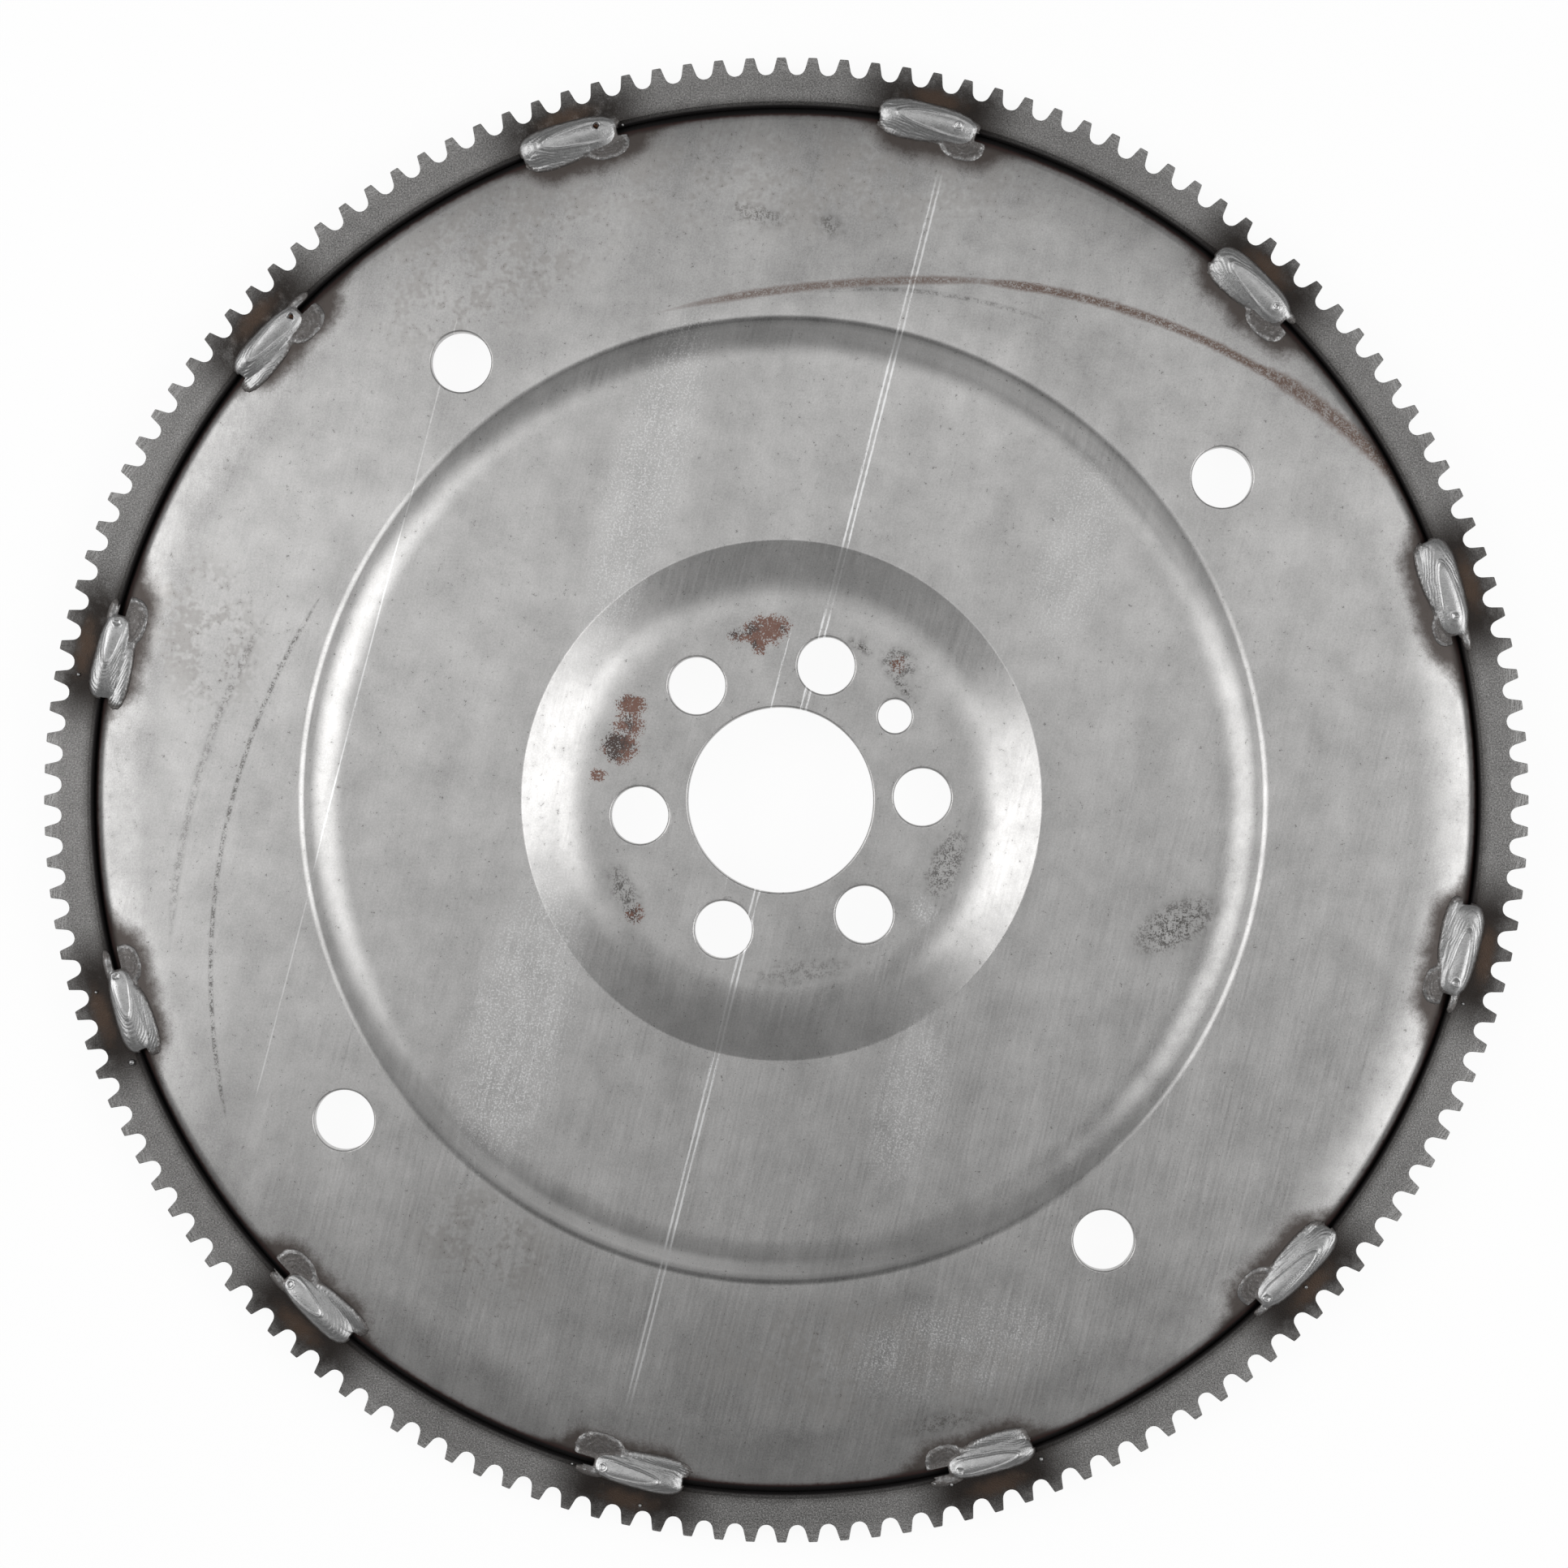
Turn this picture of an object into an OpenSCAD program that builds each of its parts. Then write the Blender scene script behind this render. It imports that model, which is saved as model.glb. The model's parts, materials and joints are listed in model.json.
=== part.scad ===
// Flexplate: a pressed steel plate with a starter ring gear welded to its rim.
// Millimetres and degrees. The origin is on the crank axis, in the plane that the part rests on.
// +Z points out of the raised hub, and +X passes through the dowel hole.

/* [Sheet] */
// Thickness of the pressed sheet
plate_t = 3; // [2:0.1:3.8]
// Radius where the flat top of the hub ends
hub_flat_r = 39.6; // [38:0.1:44]
// Radius of the crease at the foot of the hub
hub_foot_r = 55.6; // [52:0.1:70]
// Height of the hub above the middle flat
hub_rise = 4.4; // [2:0.1:8]
// Bend radius at the hub's shoulder, on the upper face
hub_shoulder_bend = 23; // [8:0.5:30]
// Radius where the middle flat ends
step_flat_r = 93.6; // [80:0.1:97]
// Radius of the crease at the foot of the outer step
step_foot_r = 103.3; // [101:0.1:107]
// Height of the middle flat above the outer flat
step_rise = 3; // [1.5:0.1:5]
// Bend radius at the outer step's shoulder, on the upper face
step_shoulder_bend = 15.5; // [5:0.5:25]
// Bend radius in both creases, on the upper face
crease_bend = 1.3; // [0.6:0.1:3]

/* [Rim] */
// Radial width of the rolled margin inside the rim bend
rim_roll_run = 11; // [6:0.5:14]
// Drop of the rolled margin
rim_roll_drop = 1.1; // [0.3:0.1:2]
// Bend radius of the rim, on the outer face
rim_bend = 4; // [3.9:0.1:5.5]
// Depth of the flange's lower edge below the outer flat
flange_h = 8.5; // [7.5:0.1:9.5]

/* [Holes] */
// Diameter of the centre hole
centre_d = 39.2; // [30:0.1:45]
// Diameter of the circle that the crank bolt holes and the dowel hole lie on
crank_circle_d = 60; // [57:0.1:62]
// Diameter of a crank bolt hole
crank_hole_d = 12.1; // [8:0.1:14]
// Angles of the crank bolt holes to each side of the dowel hole
crank_angles = [35, 90, 150]; // [30:1:160]
// Diameter of the dowel hole
dowel_d = 7.1; // [5:0.1:9]
// Diameter of the circle of the converter bolt holes
converter_circle_d = 232.6; // [230:0.1:238]
// Diameter of a converter bolt hole
converter_hole_d = 12.9; // [8:0.1:15]
// Number of converter bolt holes
converter_count = 4; // [3:1:6]
// Radius that punching leaves on the upper edge of every hole
edge_roll = 0.5; // [0.1:0.05:0.8]

/* [Ring gear] */
// Diameter over the tooth tips
tip_d = 317.5; // [300:0.5:360]
// Number of teeth
teeth = 148; // [130:1:160]
// Height of a tooth
tooth_h = 3.75; // [2.5:0.05:4.5]
// Width of a tooth at its tip
tooth_tip_w = 1.87; // [1.3:0.01:2.3]
// Radius of the round bottom of a tooth gap
gap_root_r = 1.83; // [1.3:0.01:2]
// Radial width of the ring, from the bore that the flange is pressed into to the tooth tips
ring_w = 10.15; // [8:0.05:14]
// Thickness of the ring along the crank axis
ring_t = 10; // [9.1:0.1:14]
// Depth of the ring's upper face below the outer flat
ring_set_down = 0.5; // [0:0.1:1.2]
// Chamfer at the top of the bore
bore_chamfer = 0.8; // [0.2:0.1:1.5]
// Lead chamfer at the lower end of the teeth
tooth_chamfer = 1; // [0.3:0.1:2]
// Turn of the ring from a tooth centred on the dowel hole
ring_turn = 0.3; // [-1:0.1:1]

/* [Welds] */
// Number of weld beads
weld_count = 12; // [6:1:16]
// Angle of the first bead from the dowel hole
weld_start = 11.3; // [0:0.1:30]
// Length of a bead along the joint
weld_l = 20.5; // [12:0.5:30]
// Width of a bead across the joint
weld_w = 8.4; // [7:0.1:12]
// Height of a bead above the ring's upper face
weld_crown = 1.8; // [1:0.1:2.5]
// Depth that a bead fills in the groove between rim and ring
weld_root = 2.4; // [1.5:0.1:3]
// Offset of a bead's middle from the bore, towards the crank axis
weld_offset = 1.3; // [-0.5:0.1:1.5]

/* [Hidden] */
$fn = 96;
bend_steps = 12;
gap_steps = 8;
bead_steps = 16;
overcut = 1;

outer_top = ring_t + ring_set_down;
middle_top = outer_top + step_rise;
hub_top = middle_top + hub_rise;

tip_r = tip_d / 2;
flange_r = tip_r - ring_w;
flange_z = outer_top - flange_h;
roll_bend = (rim_roll_run ^ 2 + rim_roll_drop ^ 2) / (2 * rim_roll_drop);
roll_slope = 2 * atan(rim_roll_drop / rim_roll_run);
rim_bend_r = flange_r - rim_bend;
rim_bend_z = outer_top - rim_roll_drop - rim_bend * cos(roll_slope);
roll_r = rim_bend_r + rim_bend * sin(roll_slope) - rim_roll_run;

tooth_pitch = 360 / teeth;
gap_tip_w = tip_d * sin(tooth_pitch / 2) - tooth_tip_w;
gap_root_c = tip_r - tooth_h + gap_root_r;

weld_r = flange_r - weld_offset;
weld_pitch = 360 / weld_count;
bead_bend = (weld_w ^ 2 / 4 + weld_crown ^ 2) / (2 * weld_crown);
bead_axis_depth = bead_bend - weld_crown;
bead_reach = 2 * asin(weld_l / weld_r);

function weld_name(i) = str("weld_", i < 10 ? "0" : "", i);

function reversed(points) = [for (i = [len(points) - 1 : -1 : 0]) points[i]];

// Points on a circle about c, from angle a to angle b
function arc(c, r, a, b, steps = bend_steps) =
    [for (i = [0 : steps]) let (t = a + (b - a) * i / steps) c + r * [cos(t), sin(t)]];

// The shoulder bend of a step, limited so that it and the crease fit the step's run and rise
function shoulder(bend, run, rise) = min(bend, (run ^ 2 + rise ^ 2) / (2 * rise) - crease_bend);

// Slope of the straight wall between two bends whose radii add up to sum
function wall_slope(run, rise, sum) = asin(min(1, sum / norm([run, sum - rise]))) - atan2(sum - rise, run);

// One step down from r0 to r1, on the face that lies the given depth below the sheet's upper face
function step_face(r0, r1, top, rise, bend, depth) =
    let (
        round = shoulder(bend, r1 - r0, rise),
        slope = wall_slope(r1 - r0, rise, round + crease_bend)
    )
    concat(
        arc([r0, top - round], round - depth, 90, 90 - slope),
        arc([r1, top - rise + crease_bend], crease_bend + depth, 270 - slope, 270)
    );

// The sheet's profile from the hub's shoulder to the flange, at a depth below its upper face
function sheet_face(depth) = concat(
    step_face(hub_flat_r, hub_foot_r, hub_top, hub_rise, hub_shoulder_bend, depth),
    step_face(step_flat_r, step_foot_r, middle_top, step_rise, step_shoulder_bend, depth),
    arc([roll_r, outer_top - roll_bend], roll_bend - depth, 90, 90 - roll_slope),
    arc([rim_bend_r, rim_bend_z], rim_bend - depth, 90 - roll_slope, 0)
);

// Section of the pressed sheet, without its holes
module sheet_section() {
    polygon(concat(
        [[0, hub_top]],
        sheet_face(0),
        [[flange_r, flange_z], [flange_r - plate_t, flange_z]],
        reversed(sheet_face(plate_t)),
        [[0, hub_top - plate_t]]
    ));
}

// Everything below the sheet's upper face
module sheet_shadow() {
    polygon(concat([[0, hub_top]], sheet_face(0), [[flange_r, 0], [0, 0]]));
}

// Section of the ring before its teeth are cut
module ring_section() {
    polygon([
        [flange_r, 0],
        [tip_r - tooth_chamfer, 0],
        [tip_r, tooth_chamfer],
        [tip_r, ring_t],
        [flange_r + bore_chamfer, ring_t],
        [flange_r, ring_t - bore_chamfer]
    ]);
}

// A punched hole through the sheet below top, with its upper edge rolled over
module punch(d, top) {
    translate([0, 0, top - plate_t - overcut]) cylinder(d = d, h = plate_t + 2 * overcut);
    translate([0, 0, top]) rotate_extrude() difference() {
        translate([0, -edge_roll]) square([d / 2 + edge_roll, edge_roll + overcut]);
        translate([d / 2 + edge_roll, -edge_roll]) circle(edge_roll, $fn = 32);
    }
}

// One gap between two teeth: straight flanks that run into a round bottom
module tooth_gap() {
    corner = [tip_r * cos(tooth_pitch / 2) - gap_root_c, gap_tip_w / 2];
    flank = atan2(corner.y, corner.x) + acos(gap_root_r / norm(corner));
    root = arc([0, 0], gap_root_r, flank, 360 - flank, gap_steps);
    past_tip = corner + (corner - root[0]) * overcut / norm(corner - root[0]);
    translate([gap_root_c, 0]) polygon(concat([[past_tip.x, -past_tip.y], past_tip], root));
}

// A bead turned about the line of the joint, before it is trimmed to the metal that it lies on
module bead_spindle() {
    stations = [for (i = [0 : bead_steps]) 2 * i / bead_steps - 1];
    translate([weld_r, 0, ring_t - bead_axis_depth]) rotate([90, 0, 0]) rotate_extrude()
        polygon(concat(
            [[0, -weld_l / 2]],
            [for (s = stations) [bead_axis_depth + weld_crown * (1 - abs(s) ^ 3), s * weld_l / 2]],
            [[0, weld_l / 2]]
        ));
}

module plate() {
    color([0.63, 0.63, 0.62]) difference() {
        rotate_extrude($fn = 360) sheet_section();
        punch(centre_d, hub_top);
        translate([crank_circle_d / 2, 0]) punch(dowel_d, hub_top);
        for (side = [-1, 1], a = crank_angles)
            rotate(side * a) translate([crank_circle_d / 2, 0]) punch(crank_hole_d, hub_top);
        for (i = [0 : converter_count - 1])
            rotate(i * 360 / converter_count) translate([converter_circle_d / 2, 0])
                punch(converter_hole_d, outer_top);
    }
}

module ring_gear() {
    color([0.35, 0.34, 0.33]) rotate(ring_turn) difference() {
        rotate_extrude($fn = 360) ring_section();
        translate([0, 0, -overcut]) linear_extrude(ring_t + 2 * overcut)
            for (i = [1 : teeth]) rotate((i - 0.5) * tooth_pitch) tooth_gap();
    }
}

module weld(i) {
    color([0.55, 0.56, 0.55]) rotate(weld_start + (i - 1) * weld_pitch) difference() {
        intersection() {
            bead_spindle();
            translate([0, -weld_l, ring_t - weld_root]) cube([tip_r, 2 * weld_l, weld_root + 2 * weld_crown]);
        }
        rotate(-bead_reach / 2) rotate_extrude(angle = bead_reach, $fn = 360) sheet_shadow();
        rotate(-bead_reach / 2) rotate_extrude(angle = bead_reach, $fn = 360) ring_section();
    }
}

plate();
ring_gear();
for (i = [1 : weld_count])
    weld(i);
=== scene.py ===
"""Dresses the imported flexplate: the pressed plate, the starter ring, the weld beads and the stage.

Lengths are millimetres, and a mesh is scaled to metres when its object is made. A place on the upper face is
given as the main view shows it: x to the right and y up, from the crank axis.
"""

from __future__ import annotations

import json
import logging
import math
from dataclasses import dataclass, field
from enum import Enum
from functools import reduce
from typing import Any, Iterable, Sequence, Union

import bmesh
import bpy
from mathutils import Matrix, Vector, noise

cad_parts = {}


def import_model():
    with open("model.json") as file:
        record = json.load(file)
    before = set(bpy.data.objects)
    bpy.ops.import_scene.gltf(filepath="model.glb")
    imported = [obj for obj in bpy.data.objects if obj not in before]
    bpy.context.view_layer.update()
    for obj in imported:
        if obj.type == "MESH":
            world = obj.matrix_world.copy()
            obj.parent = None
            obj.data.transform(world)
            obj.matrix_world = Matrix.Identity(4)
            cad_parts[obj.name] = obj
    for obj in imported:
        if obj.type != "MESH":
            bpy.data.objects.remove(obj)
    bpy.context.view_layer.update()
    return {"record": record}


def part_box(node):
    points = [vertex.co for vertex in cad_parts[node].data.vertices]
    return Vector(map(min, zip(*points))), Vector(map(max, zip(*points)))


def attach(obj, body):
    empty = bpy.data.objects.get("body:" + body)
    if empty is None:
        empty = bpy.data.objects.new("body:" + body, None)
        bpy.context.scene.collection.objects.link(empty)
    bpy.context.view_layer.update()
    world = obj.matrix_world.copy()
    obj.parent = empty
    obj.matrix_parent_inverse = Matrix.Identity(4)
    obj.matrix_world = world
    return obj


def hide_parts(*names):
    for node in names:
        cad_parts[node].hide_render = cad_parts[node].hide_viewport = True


LOG = logging.getLogger("flexplate")

MM = 0.001
BODY = "root"
# Angle of the dowel hole in the main view, counter-clockwise from the right
VIEW_TURN = math.radians(36.2)
# Radius of the joint that the beads lie on, and the first bead's angle from the dowel hole
JOINT_R = 147.8
BEAD_COUNT = 12
BEAD_PITCH = math.tau / BEAD_COUNT
FIRST_BEAD = math.radians(11.3)
# What is painted on a bead: its crust, its last pool and its crater
BEAD_KEYS = ("toe", "pool", "pit")
# Lengths and angles that count as none, and the distance of points that count as one
TOUCH = 1e-6
DOUBLE = 0.001

Place = tuple[float, float]
Color = tuple[float, float, float, float]
Feed = Union["Signal", float, Sequence[float]]
Amount = Union["Signal", float]


def grey(level: float, warmth: float = 0.0) -> Color:
    """Gives a grey with a little more red and less blue where warmth is above 0."""
    return (level * (1 + warmth), level, level * (1 - warmth), 1.0)


def smooth_step(value: float, low: float, high: float) -> float:
    """Runs smoothly from 0 at low to 1 at high, which may lie below low."""
    t = min(1.0, max(0.0, (value - low) / (high - low)))
    return t * t * (3 - 2 * t)


def ridge(value: float, middle: float, half: float) -> float:
    """Gives a bell that is 1 at its middle."""
    return math.exp(-(((value - middle) / half) ** 2))


class Signal:
    """One value along a shader graph. Arithmetic on it adds the nodes that work it out."""

    def __init__(self, graph: Graph, socket: bpy.types.NodeSocket) -> None:
        """Holds a socket and the graph that it belongs to."""
        self.graph = graph
        self.socket = socket

    def __add__(self, other: Amount) -> Signal:
        """Adds a value."""
        return self.graph.math("ADD", self, other)

    def __sub__(self, other: Amount) -> Signal:
        """Takes a value away."""
        return self.graph.math("SUBTRACT", self, other)

    def __rsub__(self, other: float) -> Signal:
        """Takes this value away from a number."""
        return self.graph.math("SUBTRACT", other, self)

    def __mul__(self, other: Amount) -> Signal:
        """Multiplies by a value."""
        return self.graph.math("MULTIPLY", self, other)

    def __truediv__(self, other: Amount) -> Signal:
        """Divides by a value."""
        return self.graph.math("DIVIDE", self, other)

    __radd__ = __add__

    def __abs__(self) -> Signal:
        """Drops the sign."""
        return self.graph.math("ABSOLUTE", self)

    def root(self) -> Signal:
        """Takes the square root."""
        return self.graph.math("SQRT", self)

    def most(self, other: Amount) -> Signal:
        """Takes the larger of two values."""
        return self.graph.math("MAXIMUM", self, other)

    def smooth(self, low: float, high: float) -> Signal:
        """Runs smoothly from 0 at low to 1 at high, which may lie below low."""
        feeds = {"Value": self, "From Min": low, "From Max": high}
        return self.graph.add("ShaderNodeMapRange", feeds, interpolation_type="SMOOTHSTEP")

    def axis(self, name: str) -> Signal:
        """Takes one axis of a vector."""
        return self.graph.add("ShaderNodeSeparateXYZ", {0: self}, output=name)

    def times(self, scale: Feed) -> Signal:
        """Scales a vector axis by axis."""
        return self.graph.add("ShaderNodeVectorMath", {0: self, 1: scale}, operation="MULTIPLY")

    def turned(self, angle: float) -> Signal:
        """Turns a vector about the crank axis."""
        return self.graph.add("ShaderNodeMapping", {"Vector": self, "Rotation": (0.0, 0.0, angle)})


class Graph:
    """Adds nodes to one shader tree and links them as they are made."""

    def __init__(self, owner: Union[bpy.types.Material, bpy.types.World]) -> None:
        """Starts an empty tree.

        Args:
            owner: The material or world, which loses the nodes that it has.
        """
        owner.use_nodes = True
        self.tree = owner.node_tree
        self.tree.nodes.clear()

    def add(self, kind: str, feeds: dict[Any, Feed], output: Any = 0, **settings: Any) -> Signal:
        """Adds one node.

        Args:
            kind: The node's type.
            feeds: What goes into its sockets, by name or number.
            output: The socket that the result comes from.
            settings: The node's own properties.

        Returns:
            The node's output, or an empty signal where it has none.
        """
        node = self.tree.nodes.new(kind)
        for name, value in settings.items():
            setattr(node, name, value)
        for key, feed in feeds.items():
            if isinstance(feed, Signal):
                self.tree.links.new(feed.socket, node.inputs[key])
            else:
                node.inputs[key].default_value = feed
        return Signal(self, node.outputs[output] if node.outputs else None)

    def vector(self, x: Amount, y: Amount, z: Amount) -> Signal:
        """Joins three numbers to a vector."""
        return self.add("ShaderNodeCombineXYZ", {0: x, 1: y, 2: z})

    def math(self, operation: str, first: Amount, second: Amount = 0.0) -> Signal:
        """Adds a math node."""
        return self.add("ShaderNodeMath", {0: first, 1: second}, operation=operation)

    def mix(self, share: Amount, under: Feed, over: Feed) -> Signal:
        """Lays one colour over another."""
        return self.add("ShaderNodeMix", {0: share, 6: under, 7: over}, output=2, data_type="RGBA")

    def blend(self, share: Amount, under: Amount, over: Amount) -> Signal:
        """Goes from one number to another."""
        return self.add("ShaderNodeMix", {0: share, 2: under, 3: over}, data_type="FLOAT")

    def shaded(self, color: Feed, shade: Signal) -> Signal:
        """Makes a colour lighter or darker."""
        return self.add("ShaderNodeVectorMath", {0: color, 3: shade}, operation="SCALE")

    def noise(
        self, where: Signal, per_mm: Union[float, Place], detail: float, rough: float, flat: bool = True
    ) -> Signal:
        """Adds cloudy noise around 0.5.

        Args:
            where: The place in millimetres.
            per_mm: How many clouds there are in a millimetre, all round or along x and y.
            detail: How many finer layers lie on the first.
            rough: How strong the finer layers are.
            flat: Whether the noise is the same at all heights.

        Returns:
            A value between 0 and 1.
        """
        scale = 1.0
        if isinstance(per_mm, float):
            scale = per_mm
        else:
            where = where.times((*per_mm, 0.0))
        feeds = {"Vector": where, "Scale": scale, "Detail": detail, "Roughness": rough}
        return self.add("ShaderNodeTexNoise", feeds, noise_dimensions="2D" if flat else "3D")

    def attribute(self, name: str) -> Signal:
        """Reads a number that is painted on the mesh."""
        return self.add("ShaderNodeAttribute", {}, output="Fac", attribute_name=name)

    def bump(self, height: Signal, depth: float) -> Signal:
        """Turns a height between 0 and 1 into a normal, with the depth in millimetres."""
        feeds = {"Height": height, "Strength": 1.0, "Distance": depth * MM}
        return self.add("ShaderNodeBump", feeds, "Normal")

    def finish(self, **feeds: Feed) -> None:
        """Adds the surface shader and the output.

        Args:
            feeds: What goes into the shader's sockets, with underscores in place of spaces.
        """
        named = {key.replace("_", " "): feed for key, feed in feeds.items()}
        shader = self.add("ShaderNodeBsdfPrincipled", named)
        self.add("ShaderNodeOutputMaterial", {"Surface": shader})


class Metal:
    """Starts a material whose pattern is laid out in millimetres as the main view shows it."""

    def __init__(self, name: str) -> None:
        """Makes an empty node material.

        Args:
            name: The material's name.
        """
        self.material = bpy.data.materials.new(name)
        self.graph = Graph(self.material)
        coordinates = self.graph.add("ShaderNodeTexCoord", {}, output="Object")
        self.where = coordinates.times((1 / MM, 1 / MM, 1 / MM)).turned(VIEW_TURN)

    def joint(self) -> tuple[Signal, Signal]:
        """Measures along the joint and across it.

        Returns:
            The distance counter-clockwise from the nearest bead's middle, and the radius from the crank axis.
        """
        x, y = self.where.axis("X"), self.where.axis("Y")
        turns = self.graph.math("ARCTAN2", y, x) / BEAD_PITCH - (FIRST_BEAD + VIEW_TURN) / BEAD_PITCH
        offset = self.graph.math("FRACT", turns + 0.5) - 0.5
        return offset * (BEAD_PITCH * JOINT_R), (x * x + y * y).root()


class Effect(Enum):
    """What a mark does to the sheet."""

    SCRATCH = "scratch"
    SCUFF = "scuff"
    SMUDGE = "smudge"
    STAIN = "stain"
    DRAG = "drag"
    STREAK = "streak"
    RUST = "rust"


def thin_cover(past_end: float, fade: float, beside: float) -> float:
    """Gives how much of a thin mark is left: it fades before its end and well beside it."""
    return smooth_step(past_end, 0.0, -fade) * smooth_step(beside, 9.0, 5.0)


@dataclass(frozen=True)
class Line:
    """A thin straight mark, or two side by side where there is a gap. It fades over some millimetres."""

    effect: Effect
    start: Place
    end: Place
    width: float
    strength: float = 1.0
    gap: float = 0.0
    fade: float = 10.0

    def aside(self, place: Vector) -> float:
        """Gives the distance to the left of the line, in widths."""
        along = (Vector(self.end) - Vector(self.start)).normalized()
        return along.cross(place - Vector(self.start)) / self.width

    def cover(self, place: Vector) -> float:
        """Tells how strong the line is.

        Args:
            place: Where on the sheet.

        Returns:
            A share, which is 0 past the line's ends and well beside it.
        """
        along = Vector(self.end) - Vector(self.start)
        run = (place - Vector(self.start)).dot(along) / along.length
        past_end = abs(run - along.length / 2) - along.length / 2
        beside = abs(self.aside(place)) * self.width - self.gap
        return self.strength * thin_cover(past_end, self.fade, beside)


@dataclass(frozen=True)
class Arc:
    """A thin mark along a circle, between two angles in degrees. It fades over some degrees."""

    effect: Effect
    centre: Place
    radius: float
    first: float
    last: float
    width: float
    strength: float = 1.0
    gap: float = 0.0
    fade: float = 6.0

    def aside(self, place: Vector) -> float:
        """Gives the distance outwards from the arc, in widths."""
        return ((place - Vector(self.centre)).length - self.radius) / self.width

    def cover(self, place: Vector) -> float:
        """Tells how strong the arc is.

        Args:
            place: Where on the sheet.

        Returns:
            A share, which is 0 past the arc's ends and well beside it.
        """
        away = place - Vector(self.centre)
        angle = math.degrees(math.atan2(away.y, away.x)) % 360
        past_end = abs(angle - (self.first + self.last) / 2) - (self.last - self.first) / 2
        return self.strength * thin_cover(past_end, self.fade, abs(self.aside(place)) * self.width)


@dataclass(frozen=True)
class Patch:
    """A soft round patch with its half width and half height, turned by degrees."""

    effect: Effect
    centre: Place
    size: Place
    turn: float = 0.0
    strength: float = 1.0

    def cover(self, place: Vector) -> float:
        """Tells how strong the patch is.

        Args:
            place: Where on the sheet.

        Returns:
            A share, which is 0 outside the patch.
        """
        x, y = Matrix.Rotation(-math.radians(self.turn), 2) @ (place - Vector(self.centre))
        spread = (x / self.size[0]) ** 2 + (y / self.size[1]) ** 2
        return self.strength * smooth_step(spread, 1.6, 0.1)


@dataclass(frozen=True)
class PaintedLightBand:
    """A ring-shaped change of tone that is strongest towards an angle in degrees: painted shade where its
    amount is below 0, and a painted highlight where it is above.

    It fades from its core to its half width, and towards the sides by a power of the cosine. An even power
    gives it a second strongest place opposite the first.
    """

    radius: float
    half: float
    core: float
    amount: float
    toward: float
    power: int

    def change(self, place: Vector) -> float:
        """Works out the change.

        Args:
            place: Where on the sheet.

        Returns:
            What is added to the tone there.
        """
        side = math.cos(math.atan2(place.y, place.x) - math.radians(self.toward))
        if self.power % 2:
            side = max(0.0, side)
        across = smooth_step(abs(place.length - self.radius), self.half, self.core)
        return self.amount * side**self.power * across


@dataclass(frozen=True)
class Scorch:
    """The burnt metal at each bead: a capsule along the joint, and a seam that gets thinner away from it.

    The lead is how far the capsule's middle lies clockwise of the bead's, and the inset is how far it lies
    inside the joint.
    """

    lead: float = 2.5
    half: float = 8.5
    inset: float = 1.0
    radius: float = 4.3
    seam: float = 2.0
    seam_half: float = 13.0
    thinning: float = 0.5
    far: float = 12.0

    def reach(self, place: Vector) -> float:
        """Measures to the burnt metal of the nearest bead.

        Args:
            place: Where on the sheet.

        Returns:
            The distance in millimetres, which is below 0 inside.
        """
        angle = math.atan2(place.y, place.x) - FIRST_BEAD - VIEW_TURN
        offset = (angle / BEAD_PITCH + 0.5) % 1.0 - 0.5
        along = abs(offset * BEAD_PITCH * JOINT_R + self.lead)
        inward = JOINT_R - place.length
        near = math.hypot(max(0.0, along - self.half), inward - self.inset) - self.radius
        seam = inward - self.seam + self.thinning * max(0.0, along - self.seam_half)
        return min(near, seam, self.far)


SCRATCH, SCUFF, SMUDGE, STAIN, DRAG, STREAK, RUST = Effect

Thin = Union[Line, Arc]
# Stands for the distance to a thin mark that does not reach a place, in its widths
FAR = 1000.0

PLATE_LINES: tuple[Thin, ...] = (
    Line(SCRATCH, (34.3, 135.5), (-33.3, -131.5), 0.32, 1.0, 1.05),
    Line(SCRATCH, (-68.0, 108.8), (-114.1, -68.7), 0.22, 0.6),
    Line(SCRATCH, (2.8, 38.2), (-12.3, -20.5), 0.25, 0.7),
    Arc(DRAG, (25.9, -36.9), 148.5, 145.0, 195.0, 0.8, 0.85),
    Arc(DRAG, (28.3, -39.7), 159.9, 148.0, 179.0, 1.4, 0.5),
    Arc(DRAG, (18.1, 1.5), 107.6, 67.0, 98.0, 0.8, 0.6),
    Arc(STREAK, (31.6, -147.9), 258.8, 84.0, 104.5, 1.3, 0.8),
    Arc(STREAK, (31.1, -27.4), 138.4, 40.0, 88.0, 1.4, 0.95),
    Arc(STREAK, (31.1, -27.4), 138.9, 36.0, 62.0, 2.6, 0.95),
)

# Painted shade and painted highlights that follow the lamps: painted shade on the outer step's right shoulder
# and in its crease, painted highlights on its wall on two sides, and painted shade on the outer flat and the
# rim's left side
PLATE_PAINTED_LIGHT: tuple[PaintedLightBand, ...] = (
    PaintedLightBand(98.0, 6.0, 2.0, -0.34, -25, 7),
    PaintedLightBand(102.9, 0.95, 0.2, -0.42, 90, 2),
    PaintedLightBand(100.4, 2.8, 0.8, 0.60, 54, 9),
    PaintedLightBand(100.4, 2.8, 0.8, 0.75, 250, 9),
    PaintedLightBand(123.0, 21.0, 12.0, -0.20, 90, 4),
    PaintedLightBand(141.0, 8.0, 3.0, -0.18, 160, 5),
)

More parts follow.
